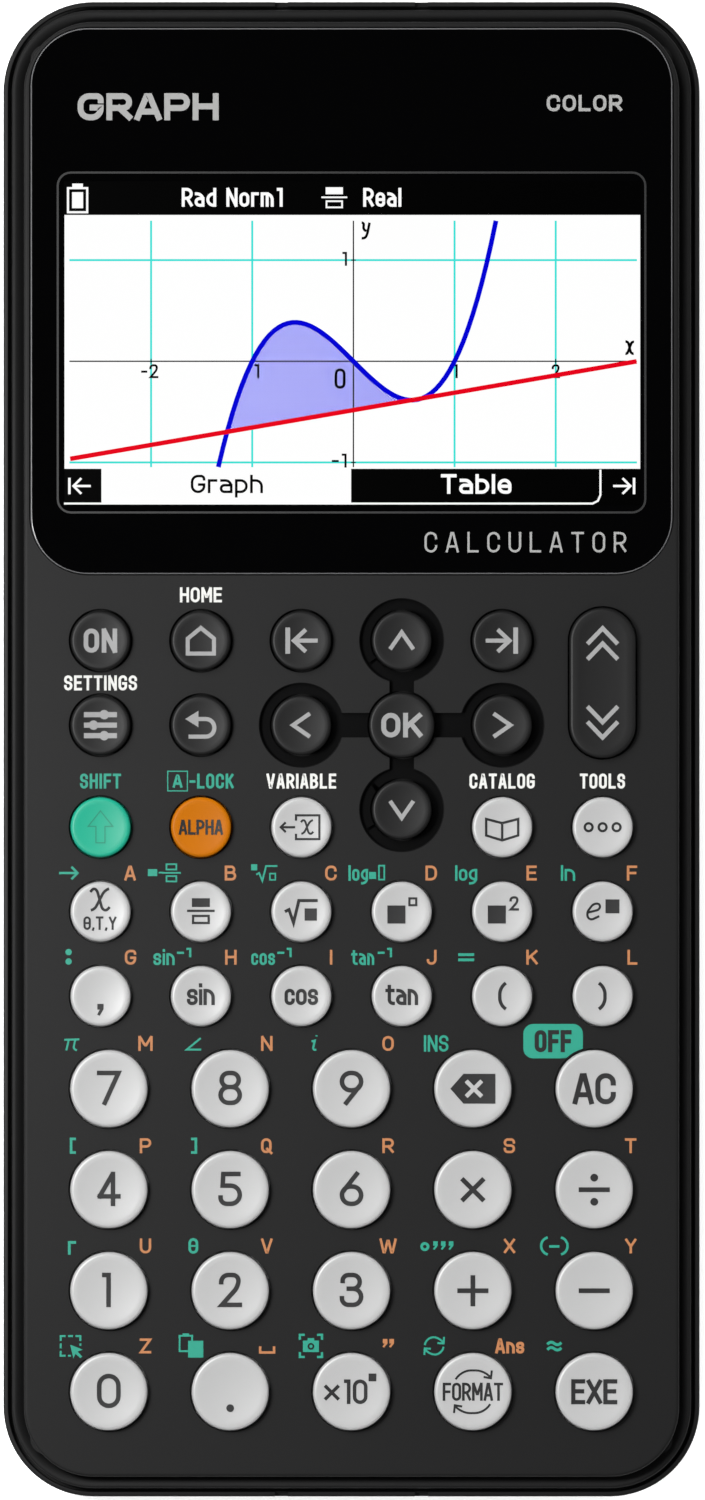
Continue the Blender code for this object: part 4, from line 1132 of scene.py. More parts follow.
# ---------------------------------------------------------------- inside: board, socket and mat
def board():
    """The circuit board with its chips, and the data socket at its display end."""
    margin = 0.0034
    plate = case_loft("board_plate", [(margin, BOARD_Z), (margin, BOARD_TOP_Z)], "lacquer")
    notch = [(0.0023, BOARD_Z - OUTSIDE), (0.0023, BOARD_TOP_Z + OUTSIDE)]
    shape(plate, "DIFFERENCE", [posts("boss notches", notch, BOSS_PLACES, 24)])
    chips = (
        ("processor", (0.0120, 0.0120, 0.0011), (-0.0120, 0.0360)),
        ("memory", (0.0110, 0.0070, 0.0010), (0.0090, 0.0340)),
        ("crystal", (0.0032, 0.0016, 0.0008), (-0.0120, 0.0480)),
        ("reset_switch", (0.0040, 0.0040, 0.0015), (0.0240, 0.0600)),
    )
    pieces = [plate]
    for name, (width, length, height), (x, from_end) in chips:
        y = HALF_LENGTH - from_end
        low = (x - width / 2, y - length / 2, BOARD_Z - height)
        high = (x + width / 2, y + length / 2, BOARD_Z - 0.00005)
        finish = "steel" if name in ("crystal", "reset_switch") else "epoxy"
        pieces.append(block(f"board_{name}", low, high, 0.0003, finish, steps=3))
    sleeve_low = (-SOCKET.x / 2, SOCKET_FRONT - SOCKET.y, BOARD_Z - SOCKET.z)
    sleeve_high = (SOCKET.x / 2, SOCKET_FRONT, BOARD_Z - 0.00003)
    sleeve = block_along_y("socket_sleeve", sleeve_low, sleeve_high, 0.0012, "steel", steps=10)
    wall = 0.0003
    mouth_low = (sleeve_low[0] + wall, SOCKET_FRONT - 0.0062, sleeve_low[2] + wall)
    mouth_high = (sleeve_high[0] - wall, SOCKET_FRONT + OUTSIDE, sleeve_high[2] - wall)
    shape(sleeve, "DIFFERENCE", [block_along_y("mouth", mouth_low, mouth_high, 0.0009, steps=10)])
    middle = BOARD_Z - SOCKET.z / 2
    tongue_low = (-0.0033, SOCKET_FRONT - 0.0061, middle - 0.00035)
    tongue_high = (0.0033, SOCKET_FRONT - 0.0004, middle + 0.00035)
    tongue = block_along_y("socket_tongue", tongue_low, tongue_high, 0.0001, "epoxy")
    pieces += [sleeve, tongue]
    for piece in pieces:
        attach(piece, "case")
    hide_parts("main_board")


MAT_THICKNESS = 0.0004
DOME_FOOT_INSET = 0.0008  # from the side of the key to the foot of its dome
DOME_SLOPE = 0.0010


def keypad_mat():
    """A soft sheet with domes that the keys stand over, each dome a piece of its own with its own mesh."""
    low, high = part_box("keypad_mat")
    sheet_top = low.z + MAT_THICKNESS
    sheet = block("keypad_mat_sheet", low, (high.x, high.y, sheet_top), 0.0015, "rubber")
    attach(sheet, "case")
    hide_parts("keypad_mat")
    domes = [(name, f"{name}_press", middle_of(name), radius_of(name)) for name in KEYS]
    rocker_radius = (ROCKER_HIGH.x - ROCKER_LOW.x) / 2 - ROCKER_EAR
    for end, y in (("upper", CONTROL_Y), ("lower", CONTROL_2_Y)):
        place = (middle_of("page_rocker").x, y)
        domes.append((f"page_rocker_{end}", "page_rocker_tilt", place, rocker_radius))
    for name, joint, place, radius in domes:
        foot = radius - DOME_FOOT_INSET
        root = sheet_top - MAT_THICKNESS / 4
        bm = bmesh.new()
        profile = [(0.0, root), (foot, root), (foot, sheet_top), (foot - DOME_SLOPE, high.z - 0.0001)]
        turn(bm, [*profile, (foot - DOME_SLOPE - 0.0001, high.z), (0.0, high.z)], place, 32)
        dome = add_piece(f"{name}_dome", bm, "rubber")
        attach(dome, "case")
        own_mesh(dome)


# ---------------------------------------------------------------- window and its printing
def window():
    """The glossy cover over the display end; the faces of its eased edge are coloured a lighter grey, a
    painted highlight for the edge catching the light.
    """
    ease = Vector((0.00015, 0.00015, 0.0))  # how far it fills the gap that the plain solid leaves round it
    low, high = WINDOW_LOW - ease, WINDOW_HIGH + ease
    edge = 0.00016
    profile = [(0.0, low.z), (0.0, high.z - edge)]
    profile += list(arc((edge, high.z - edge), edge, 180, 90, 3))[1:]
    profile.append((edge + 0.0002, high.z))
    glass = inset_loft("display_window_detail", low, high, 0.0070, profile, "window", "window_edge", steps=20)
    # The eased edge's faces take the lighter grey: a painted highlight line round the window.
    for face in glass.data.polygons:
        if high.z - edge < face.center.z < high.z - 1e-6:
            face.material_index = 1
    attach(glass, "case")
    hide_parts("display_window")
    line = Print().frame(71.9, 41.7, 0.25, (0.0, 49.6), corner=1.6)
    line.make("window_line", "case", "window_line", (0, 0), on_window, slot="window")
    words = Print().text("GRAPH", (-24.8, 78.35), 3.3, 17.2, 0.72, space=0.10)
    words.text("COLOR", (28.4, 78.8), 2.0, 9.2, 0.38, space=0.16)
    words.make("window_words", "case", "word_ink", (0, 0), on_window, slot="legend_print")
    tail = Print().text("CALCULATOR", (21.2, 25.25), 2.5, 24.6, 0.27, space=0.42)
    tail.make("window_tail_word", "case", "word_ink", (0, 0), on_window, slot="legend_print")


# ---------------------------------------------------------------- the display's picture
LAYER_STEP = 0.00002  # each layer of the picture stands this far above the one before


class Picture:
    """The picture in the display, built as thin layers one on the other."""

    def __init__(self):
        self.layer = 0

    def add(self, name, finish, ink):
        level = WINDOW_HIGH.z + self.layer * LAYER_STEP
        self.layer += 1
        ink.make(f"picture_{name}", "case", finish, (0, 0), lambda x, y: level, LAYER_STEP, "display")


GRAPH_MIDDLE = (0.23, 47.31)
GRAPH_UNIT = 12.335
GRAPH_X = (-34.4, 34.8)
GRAPH_Y = (34.4, 64.45)


def graph_point(x, y):
    return Vector((GRAPH_MIDDLE[0] + x * GRAPH_UNIT, GRAPH_MIDDLE[1] + y * GRAPH_UNIT))


def cubic(x):
    return x**3 - x


def where_cubic(height, low, high):
    """Where between low and high the rising cubic reaches a height."""
    for _ in range(30):
        middle = (low + high) / 2
        low, high = (middle, high) if cubic(middle) < height else (low, middle)
    return low


def straight(x):
    return 0.172 * x - 0.483


def display_picture():
    picture = Picture()
    paper = Print().bar(70.2, 31.0, (0.1, 49.7)).bar(30.5, 4.3, (-15.25, 32.1))
    picture.add("paper", "lit_white", paper)
    grid = Print()
    for x in (-2, -1, 1, 2):
        across = graph_point(x, 0).x
        grid.line([Vector((across, GRAPH_Y[0])), Vector((across, GRAPH_Y[1]))], 0.24)
    for y in (-1, 1):
        up = graph_point(0, y).y
        grid.line([Vector((GRAPH_X[0], up)), Vector((GRAPH_X[1], up))], 0.24)
    picture.add("grid", "lit_cyan", grid)
    picture.add("shading", "lit_shade", shading())
    axes = Print()
    axes.line([Vector((GRAPH_X[0], GRAPH_MIDDLE[1])), Vector((GRAPH_X[1], GRAPH_MIDDLE[1]))], 0.16)
    axes.line([Vector((GRAPH_MIDDLE[0], GRAPH_Y[0])), Vector((GRAPH_MIDDLE[0], GRAPH_Y[1]))], 0.16)
    for x in (-2, -1, 1, 2):
        axes.bar(0.13, 0.6, graph_point(x, 0))
    for y in (-1, 1):
        axes.bar(0.6, 0.13, graph_point(0, y))
    labels = (("0", -1.4, 45.2, 2.5, 1.35), ("-2", -24.6, 46.1, 1.7, 2.1), ("1", -11.6, 46.1, 1.7, 0.7))
    labels += (("1", 12.6, 46.1, 1.7, 0.7), ("2", 24.9, 46.1, 1.7, 1.05), ("1", -0.9, 59.8, 1.7, 0.7))
    labels += (("-1", -1.5, 35.2, 1.7, 1.8),)
    for words, x, y, height, width in labels:
        axes.text(words, (x, y), height, width, 0.26 if height < 2 else 0.34)
    letter_y = "0.4,7.2r 1.7,7.2r 1.4,3r 3.2,2.4 | 5,7.2 3.6,0.2r 2.2,-2r 0.4,-1.8"
    letter_x = "0,7.2r 1.6,7.2r 2.4,3.6r 3.4,0r 4.8,0.2 | 5,7r 3.8,7.2r 2.4,3.6 1,0r 0,0.2"
    axes.path(letter_y, 0.32, (1.15, 62.7), 0.21, 0.3)
    axes.path(letter_x, 0.32, (33.4, 48.2), 0.21, 0.3)
    picture.add("axes", "lit_black", axes)
    steps = 60
    left = where_cubic((GRAPH_Y[0] - GRAPH_MIDDLE[1]) / GRAPH_UNIT, -2.0, -1.0)
    right = where_cubic((GRAPH_Y[1] - GRAPH_MIDDLE[1]) / GRAPH_UNIT, 1.0, 2.0)
    xs = [left + (right - left) * step / steps for step in range(steps + 1)]
    curve = [graph_point(x, cubic(x)) for x in xs]
    picture.add("curve", "lit_blue", Print().line(curve, 0.60))
    ends = [graph_point(x, straight(x)) for x in (-2.8, 2.8)]
    picture.add("line", "lit_red", Print().line(ends, 0.58))
    bars = Print().bar(70.35, 4.1, (0.07, 67.2)).bar(4.5, 4.36, (-32.75, 32.02))
    bars.bar(35.3, 4.36, (17.6, 32.02))
    picture.add("bars", "lit_black", bars)
    picture.add("status", "lit_white", status_words())
    picture.add("tab_word", "lit_black", Print().text("Graph", (-15.2, 32.35), 2.24, 8.8, 0.32))


def shading():
    """The area between the curve and the line, as one outline."""
    steps = 40
    left, right = -1.25, 0.58
    xs = [left + (right - left) * step / steps for step in range(steps + 1)]
    area = Print()
    upper = [graph_point(x, cubic(x)) for x in xs]
    lower = [graph_point(x, straight(x)) for x in reversed(xs)]
    area.areas.append(upper + lower[1:-1])
    return area


def status_words():
    ink = Print()
    ink.text("Rad Norm1", (-14.55, 67.3), 2.3, 12.3, 0.36, space=0.10)
    ink.text("Real", (3.75, 67.3), 2.3, 4.65, 0.36, space=0.10)
    ink.bar(2.1, 0.85, (-2.1, 68.1)).bar(3.15, 0.2, (-2.1, 67.3)).frame(2.1, 0.95, 0.2, (-2.1, 66.45))
    ink.frame(2.6, 3.2, 0.26, (-33.4, 66.95)).bar(1.3, 0.45, (-33.4, 68.75)).bar(1.35, 1.95, (-33.4, 66.95))
    ink.text("Table", (15.2, 32.35), 2.4, 8.6, 0.40)
    tab_edge = ((30.35, 34.1), (30.35, 31.0), (30.05, 30.3), (29.4, 29.96), (-35.05, 29.96))
    ink.line([Vector(point) for point in tab_edge], 0.24)
    arrow = "0,0 2.1,0 | 0.95,0.95 0,0 0.95,-0.95"
    ink.path(arrow, 0.28, (-33.9, 32.1)).bar(0.3, 2.0, (-34.4, 32.1))
    flipped = "2.1,0 0,0 | 1.15,0.95 2.1,0 1.15,-0.95"
    ink.path(flipped, 0.28, (31.9, 32.1)).bar(0.3, 2.0, (34.45, 32.1))
    return ink


# ---------------------------------------------------------------- keys
DISH = 0.00022
RIM_ROUND = 0.00042


def dished(name):
    """The height of a round key's top at an x and y."""
    middle = middle_of(name)
    reach = radius_of(name) - RIM_ROUND

    def surface(x, y):
        share = min(math.hypot(x - middle.x, y - middle.y) / reach, 1.0)
        return KEY_TOP_Z - DISH * (1 - share**2)

    return surface


def key_profile(radius):
    reach = radius - RIM_ROUND
    rings = 7
    profile = [(reach * ring / rings, KEY_TOP_Z - DISH * (1 - (ring / rings) ** 2)) for ring in range(rings)]
    profile += arc((reach, KEY_TOP_Z - RIM_ROUND), RIM_ROUND, 90, 0, 6)
    flange = radius + FLANGE_WIDTH
    profile += [(radius, FLANGE_TOP_Z), (flange - 0.0001, FLANGE_TOP_Z), (flange, FLANGE_TOP_Z - 0.0001)]
    profile += [(flange, KEY_FOOT_Z), (0.0, KEY_FOOT_Z)]
    return profile


def key_finish(name):
    if name in DARK_KEYS or name in CURSOR_KEYS:
        return "dark", "dark_keys"
    if name == "key_shift":
        return "green", "green_key"
    if name == "key_alpha":
        return "orange", "orange_key"
    return "light", "light_keys"


def round_keys():
    for name in KEYS:
        bm = bmesh.new()
        turn(bm, key_profile(radius_of(name)), middle_of(name), 64)
        finish, slot = key_finish(name)
        cap = add_piece(f"{name}_cap", bm, finish, smooth=50.0)
        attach(cap, name)
        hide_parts(name)


def page_rocker():
    """The long key that tips both ways about the ears in its middle."""
    low = Vector((ROCKER_LOW.x + ROCKER_EAR, ROCKER_LOW.y, ROCKER_LOW.z))
    high = Vector((ROCKER_HIGH.x - ROCKER_EAR, ROCKER_HIGH.y, ROCKER_HIGH.z))
    half = (high.x - low.x) / 2
    edge = 0.00045
    profile = [(0.0, low.z), (0.0, high.z - edge)]
    profile += list(arc((edge, high.z - edge), edge, 180, 90, 6))[1:]
    profile += [(edge + 0.0008, high.z - 0.00006), (edge + 0.0018, high.z - 0.00012)]
    rocker = inset_loft("page_rocker_cap", low, high, half * 0.999, profile, "dark", steps=24)
    middle = middle_of("page_rocker")
    ear_low = (ROCKER_LOW.x, middle.y - 0.0015, KEY_FOOT_Z + 0.00015)
    ears = [(ear_low, (ROCKER_HIGH.x, middle.y + 0.0015, FLANGE_TOP_Z))]
    shape(rocker, "UNION", [boxes("ears", ears)])
    shade(rocker.data, 50.0)
    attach(rocker, "page_rocker")
    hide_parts("page_rocker")
    ink = Print()
    for sign in (1, -1):
        for shift in (3.83, 5.70):
            feet = sign * (shift - 0.96)
            points = ((-1.85, feet), (0.0, sign * (shift + 0.96)), (1.85, feet))
            ink.line([Vector(point) for point in points], 0.52)
    ink.make("page_rocker_legend", "page_rocker", "grey_ink", middle, lambda x, y: ROCKER_HIGH.z - 0.00012)


ARROW_UP = "-1.42,-1.05 0,1.0 1.42,-1.05"


def turned_path(words, quarter):
    """A path turned by quarter turns anticlockwise."""
    cos, sin = round(math.cos(quarter * math.pi / 2)), round(math.sin(quarter * math.pi / 2))
    made = []
    for mark in words.split():
        if "," not in mark:
            made.append(mark)
            continue
        x, y = (float(number) for number in mark.strip("r").split(","))
        made.append(f"{x * cos - y * sin},{x * sin + y * cos}" + ("r" if mark.endswith("r") else ""))
    return " ".join(made)


def key_legends():
    """What is printed on each key, in millimetres from the key's middle."""
    legends = {name: Print() for name in KEYS}
    for digit in "0123456789":
        width = 1.30 if digit == "1" else 2.90
        legends[f"key_{digit}"].text(digit, (-0.4 if digit == "1" else 0.0, 0.1), 4.2, width, 0.56)
    words = {
        "key_all_clear": ("AC", 3.8, 5.26, 0.62),
        "key_execute": ("EXE", 3.05, 5.62, 0.52),
        "key_sin": ("sin", 2.6, 3.4, 0.42),
        "key_cos": ("cos", 2.6, 4.1, 0.42),
        "key_tan": ("tan", 2.6, 4.0, 0.42),
        "key_on": ("ON", 2.94, 4.08, 0.56),
        "key_ok": ("OK", 3.0, 5.0, 0.60),
        "key_alpha": ("ALPHA", 1.84, 5.4, 0.31),
        "key_bracket_open": ("(", 2.7, 1.0, 0.42),
        "key_bracket_close": (")", 2.7, 1.0, 0.42),
        "key_format": ("FORMAT", 2.2, 7.36, 0.32),
    }
    for name, (word, height, width, weight) in words.items():
        up = 0.2 if name in ("key_sin", "key_cos", "key_tan") else 0.0
        space = 0.11 if name in DARK_KEYS else 0.05
        legends[name].text(word, (0.0, up), height, width, weight, space)
    arrows = ("key_cursor_up", "key_cursor_left", "key_cursor_down", "key_cursor_right")
    for turn_count, name in enumerate(arrows):
        legends[name].path(turned_path(ARROW_UP, turn_count), 0.5)
    control_legends(legends)
    function_legends(legends)
    number_legends(legends)
    for name in KEYS:
        dark = name in DARK_KEYS or name in CURSOR_KEYS
        finish = "grey_ink" if dark else "dark_ink"
        # The shift key's arrow takes a darker green: painted shade standing in for the shading of its
        # embossed outline.
        if name == "key_shift":
            finish = "arrow_ink"
        if name == "key_alpha":
            finish = "badge_ink"
        legends[name].make(f"{name}_legend", name, finish, middle_of(name), dished(name))


def control_legends(legends):
    legends["key_home"].path("c -1.6,-1.58 1.6,-1.58 1.6,0.25 0,1.55 -1.6,0.25", 0.49)
    legends["key_tab_left"].bar(0.58, 3.2, (-1.65, 0.0))
    legends["key_tab_left"].path("2.0,0 -0.75,0 | 0.55,1.35 -0.9,0 0.55,-1.35", 0.5)
    legends["key_tab_right"].bar(0.58, 3.2, (1.65, 0.0))
    legends["key_tab_right"].path("-2.0,0 0.75,0 | -0.55,1.35 0.9,0 -0.55,-1.35", 0.5)
    for y, knob in ((1.28, 0.46), (0.0, -0.84), (-1.28, 0.46)):
        legends["key_settings"].bar(4.03, 0.63, (0.0, y)).dot(1.15, (knob, y))
    legends["key_back"].path("-0.9,0.75 1.65,0.75r 1.65,-1.4r -1.5,-1.4", 0.5, corner=1.05)
    legends["key_back"].area("c -1.9,0.75 -0.3,1.75 -0.3,-0.25")
    # The shift key's embossed arrow outline, drawn in the darker green of painted shade.
    legends["key_shift"].path("c -0.55,-1.9 0.55,-1.9 0.55,0.1 1.5,0.1 0,2.0 -1.5,0.1 -0.55,0.1", 0.14)


def function_legends(legends):
    variable = legends["key_variable"]
    variable.path("-0.75,0.0 -2.5,0.0 | -1.9,0.6 -2.5,0.0 -1.9,-0.6", 0.27)
    variable.path("-0.65,0.8 -0.65,1.45 2.2,1.45 2.2,-1.45 -0.65,-1.45 -0.65,-0.8", 0.27)
    variable.path(ITALIC_X, 0.25, (-0.05, -0.85), 0.245, 0.36)
    book = legends["key_catalog"]
    book.path("0,0.5 -1.95,1.0 -1.95,-1.0 0,-1.6 1.95,-1.0 1.95,1.0 0,0.5 | 0,0.4 0,-1.5", 0.30)
    for x in (-1.7, 0.0, 1.7):
        legends["key_tools"].ring(1.25, 0.30, (x, 0.0))
    legends["key_x_theta_t"].path(ITALIC_X, 0.34, (-1.25, 0.1), 0.385, 0.6)
    legends["key_x_theta_t"].text("0", (-1.62, -1.4), 1.64, 0.9, 0.26).bar(0.6, 0.24, (-1.62, -1.4))
    legends["key_x_theta_t"].text(",T,Y", (0.45, -1.4), 1.64, 3.0, 0.26, space=0.1)
    legends["key_fraction"].bar(2.19, 1.07, (0.0, 1.1)).bar(3.37, 0.28, (0.0, 0.1))
    legends["key_fraction"].frame(2.19, 1.15, 0.29, (0.0, -0.95))
    legends["key_square_root"].path("-2.0,0.0 -1.5,0.25 -0.95,-1.35 -0.3,1.35 2.0,1.35", 0.38)
    legends["key_square_root"].bar(1.5, 1.5, (1.15, -0.35))
    legends["key_power"].bar(2.2, 2.2, (-0.65, -0.35)).frame(1.1, 1.1, 0.27, (1.35, 1.2))
    legends["key_square"].bar(2.2, 2.2, (-0.65, -0.35)).text("2", (1.45, 1.0), 1.75, 1.2, 0.29)
    letter_e = "-1.95,-0.15 -0.35,0.25r -0.3,0.95r -1.1,1.0r -2.0,-0.2r -1.6,-1.1r -0.4,-0.55"
    legends["key_exponential"].path(letter_e, 0.28, corner=0.5)
    legends["key_exponential"].bar(1.7, 1.7, (1.2, 0.65))
    comma = "c -0.38,-0.95 0.38,-0.95 0.38,-1.6 -0.1,-2.4 -0.4,-2.25 -0.08,-1.65 -0.38,-1.65"
    legends["key_comma"].area(comma)


ITALIC_X = "0,6r 1.2,7.2r 2.2,6.4r 3.8,0.6r 5,0r 6.2,1.2 | 6,7r 4.6,6.6r 1.4,0.4r 0.2,0.2"


def number_legends(legends):
    legends["key_multiply"].path("-1.35,-1.35 1.35,1.35 | -1.35,1.35 1.35,-1.35", 0.58)
    legends["key_add"].path("-1.9,0 1.9,0 | 0,-1.9 0,1.9", 0.58)
    legends["key_subtract"].bar(3.79, 0.58)
    legends["key_divide"].bar(3.79, 0.58).dot(0.95, (0.0, 1.47)).dot(0.95, (0.0, -1.47))
    legends["key_decimal_point"].dot(0.95, (0.0, -2.0))
    power = legends["key_times_ten_power"]
    power.path("-3.25,-0.95 -1.55,0.75 | -3.25,0.75 -1.55,-0.95", 0.42)
    power.text("1", (-0.6, 0.0), 3.0, 0.95, 0.44).text("0", (1.05, 0.0), 3.0, 1.8, 0.44)
    power.bar(0.95, 0.95, (2.55, 1.75))
    delete = legends["key_delete"]
    delete.area("c -2.75,0 -1.15,1.82 2.75,1.82 2.75,-1.82 -1.15,-1.82")
    shift = legends["key_format"]
    shift.path("-2.1,1.5 -1.5,2.6r 1.5,2.6r 2.2,1.7 | 2.3,2.6 2.2,1.65 1.3,1.8", 0.26, corner=1.4)
    shift.path("2.1,-1.5 1.5,-2.6r -1.5,-2.6r -2.2,-1.7 | -2.3,-2.6 -2.2,-1.65 -1.3,-1.8", 0.26, corner=1.4)


def delete_cross():
    """The light cross on the delete key's pointed mark."""
    middle = middle_of("key_delete")
    top = dished("key_delete")
    cross = Print().path("-0.82,-0.95 1.08,0.95 | -0.82,0.95 1.08,-0.95", 0.50)
    cross.make("key_delete_cross", "key_delete", "light", middle, lambda x, y: top(x, y) + PRINT_HEIGHT)


# ---------------------------------------------------------------- legends on the face
def shell_legends():
    white = Print()
    green = Print()
    orange = Print()
    labels = (
        ("key_home", "HOME", 5.59, 5.13),
        ("key_settings", "SETTINGS", 5.15, 8.9),
        ("key_variable", "VARIABLE", 5.62, 8.5),
        ("key_catalog", "CATALOG", 5.62, 7.96),
        ("key_tools", "TOOLS", 5.62, 5.5),
    )
    for name, word, above, width in labels:
        white.text(word, at(name, 0.0, above), 1.83, width, 0.31, space=0.11)
    green.text("SHIFT", at("key_shift", 0.0, 5.62), 1.83, 5.0, 0.31, space=0.11)
    lock = at("key_alpha", -2.85, 5.62)
    green.frame(2.54, 2.54, 0.14, lock).text("A", lock, 1.6, 1.2, 0.3)
    green.text("-LOCK", at("key_alpha", 1.3, 5.62), 1.83, 5.4, 0.31, space=0.11)
    orange_letters(orange)
    green_functions(green)
    green_icons(green)
    off = at("key_all_clear", -5.0, 5.78)
    green.area("c -3.63,-2.1r 3.63,-2.1r 3.63,2.1r -3.63,2.1r", off, corner=1.2)
    green.areas[-1] = clear_of_key(green.areas[-1], "key_all_clear")
    white.make("shell_white_legends", "case", "white_ink", (0, 0), on_face)
    green.make("shell_green_legends", "case", "green_ink", (0, 0), on_face)
    orange.make("shell_orange_legends", "case", "orange_ink", (0, 0), on_face)
    lens = Print().ring(0.82, 0.2, at("key_times_ten_power", -4.95, 5.5))
    lens.make("shell_camera_lens", "case", "shell", (0, 0), lambda x, y: FACE_Z + 1.4 * PRINT_HEIGHT)
    badge = Print().text("OFF", off, 2.7, 4.5, 0.52, space=0.07)
    badge.make("shell_badge_word", "case", "badge_ink", (0, 0), lambda x, y: FACE_Z + PRINT_HEIGHT)


def clear_of_key(points, name):
    """Push the points of an outline that lie over a key out to just round its hole."""
    middle = middle_of(name) / MM
    reach = radius_of(name) / MM + 0.35
    made = []
    for index, point in enumerate(points):
        before = points[index - 1]
        for part in range(1, 7):
            step = before.lerp(point, part / 6)
            away = step - middle
            made.append(middle + away.normalized() * reach if away.length < reach else step)
    return made


def at(name, across, up):
    """A place in millimetres from a key's middle."""
    middle = middle_of(name) / MM
    return middle.x + across, middle.y + up


COMMA = "c -0.28,0.45 0.28,0.45 0.28,-0.1 -0.12,-0.6 -0.32,-0.5 -0.05,-0.1 -0.28,-0.1"


def orange_letters(ink):
    rows = (
        (
            ("key_x_theta_t", "key_fraction", "key_square_root")
            + ("key_power", "key_square", "key_exponential"),
            "ABCDEF",
            3.6,
            4.70,
        ),
        (
            ("key_comma", "key_sin", "key_cos", "key_tan", "key_bracket_open", "key_bracket_close"),
            "GHIJKL",
            3.65,
            4.72,
        ),
        (("key_7", "key_8", "key_9"), "MNO", 4.46, 5.50),
        (("key_4", "key_5", "key_6", "key_multiply", "key_divide"), "PQRST", 4.46, 5.34),
        (("key_1", "key_2", "key_3", "key_add", "key_subtract"), "UVWXY", 4.46, 5.43),
        (("key_0",), "Z", 4.46, 5.55),
    )
    widths = {"I": 0.34, "M": 1.75, "W": 2.1, "L": 1.2, "J": 1.2, "E": 1.25, "F": 1.25}
    for names, letters, across, up in rows:
        for name, letter in zip(names, letters):
            ink.text(letter, at(name, across, up), 1.82, widths.get(letter, 1.40), 0.30)
    ink.path("-0.85,0.3 -0.85,-0.45 0.85,-0.45 0.85,0.3", 0.3, at("key_decimal_point", 4.5, 5.2))
    for x in (-0.4, 0.4):
        ink.area(COMMA, at("key_times_ten_power", 4.5 + x, 5.95), 1.0)
    ink.text("Ans", at("key_format", 4.5, 5.55), 1.85, 3.55, 0.34, space=0.08)


def green_functions(ink):
    """The words and signs to the upper left of the function and number keys."""
    words = (
        ("key_square", "log", -4.38, 4.70, 1.9, 2.7, 0.29),
        ("key_exponential", "ln", -4.2, 4.70, 1.9, 1.75, 0.29),
        ("key_power", "log", -5.3, 4.70, 1.9, 2.4, 0.29),
        ("key_sin", "sin", -4.5, 4.72, 1.9, 2.6, 0.29),
        ("key_cos", "cos", -4.65, 4.72, 1.9, 2.9, 0.29),
        ("key_tan", "tan", -4.75, 4.72, 1.9, 2.8, 0.29),
        ("key_delete", "INS", -4.47, 5.50, 2.0, 3.0, 0.29),
        ("key_4", "[", -4.4, 5.34, 1.7, 0.75, 0.32),
        ("key_5", "]", -4.4, 5.34, 1.7, 0.75, 0.32),
        ("key_1", "r", -4.5, 5.45, 2.2, 1.0, 0.34),
        ("key_2", "0", -4.5, 5.43, 1.9, 1.2, 0.32),
        ("key_bracket_open", "=", -4.38, 4.72, 2.1, 1.95, 0.34),
        ("key_subtract", "(-)", -4.85, 5.43, 1.85, 3.5, 0.30),
    )
    for name, word, across, up, height, width, weight in words:
        ink.text(word, at(name, across, up), height, width, weight, space=0.09)
    ink.bar(0.8, 0.22, at("key_2", -4.5, 5.43))
    for name in ("key_sin", "key_cos", "key_tan"):
        ink.text("-1", at(name, -2.05, 5.3), 1.15, 1.75, 0.27)
    for up in (4.2, 5.35):
        ink.dot(0.78, at("key_comma", -3.9, up))
    ink.bar(0.85, 0.85, at("key_power", -3.55, 4.4)).frame(0.85, 1.9, 0.2, at("key_power", -2.45, 4.75))


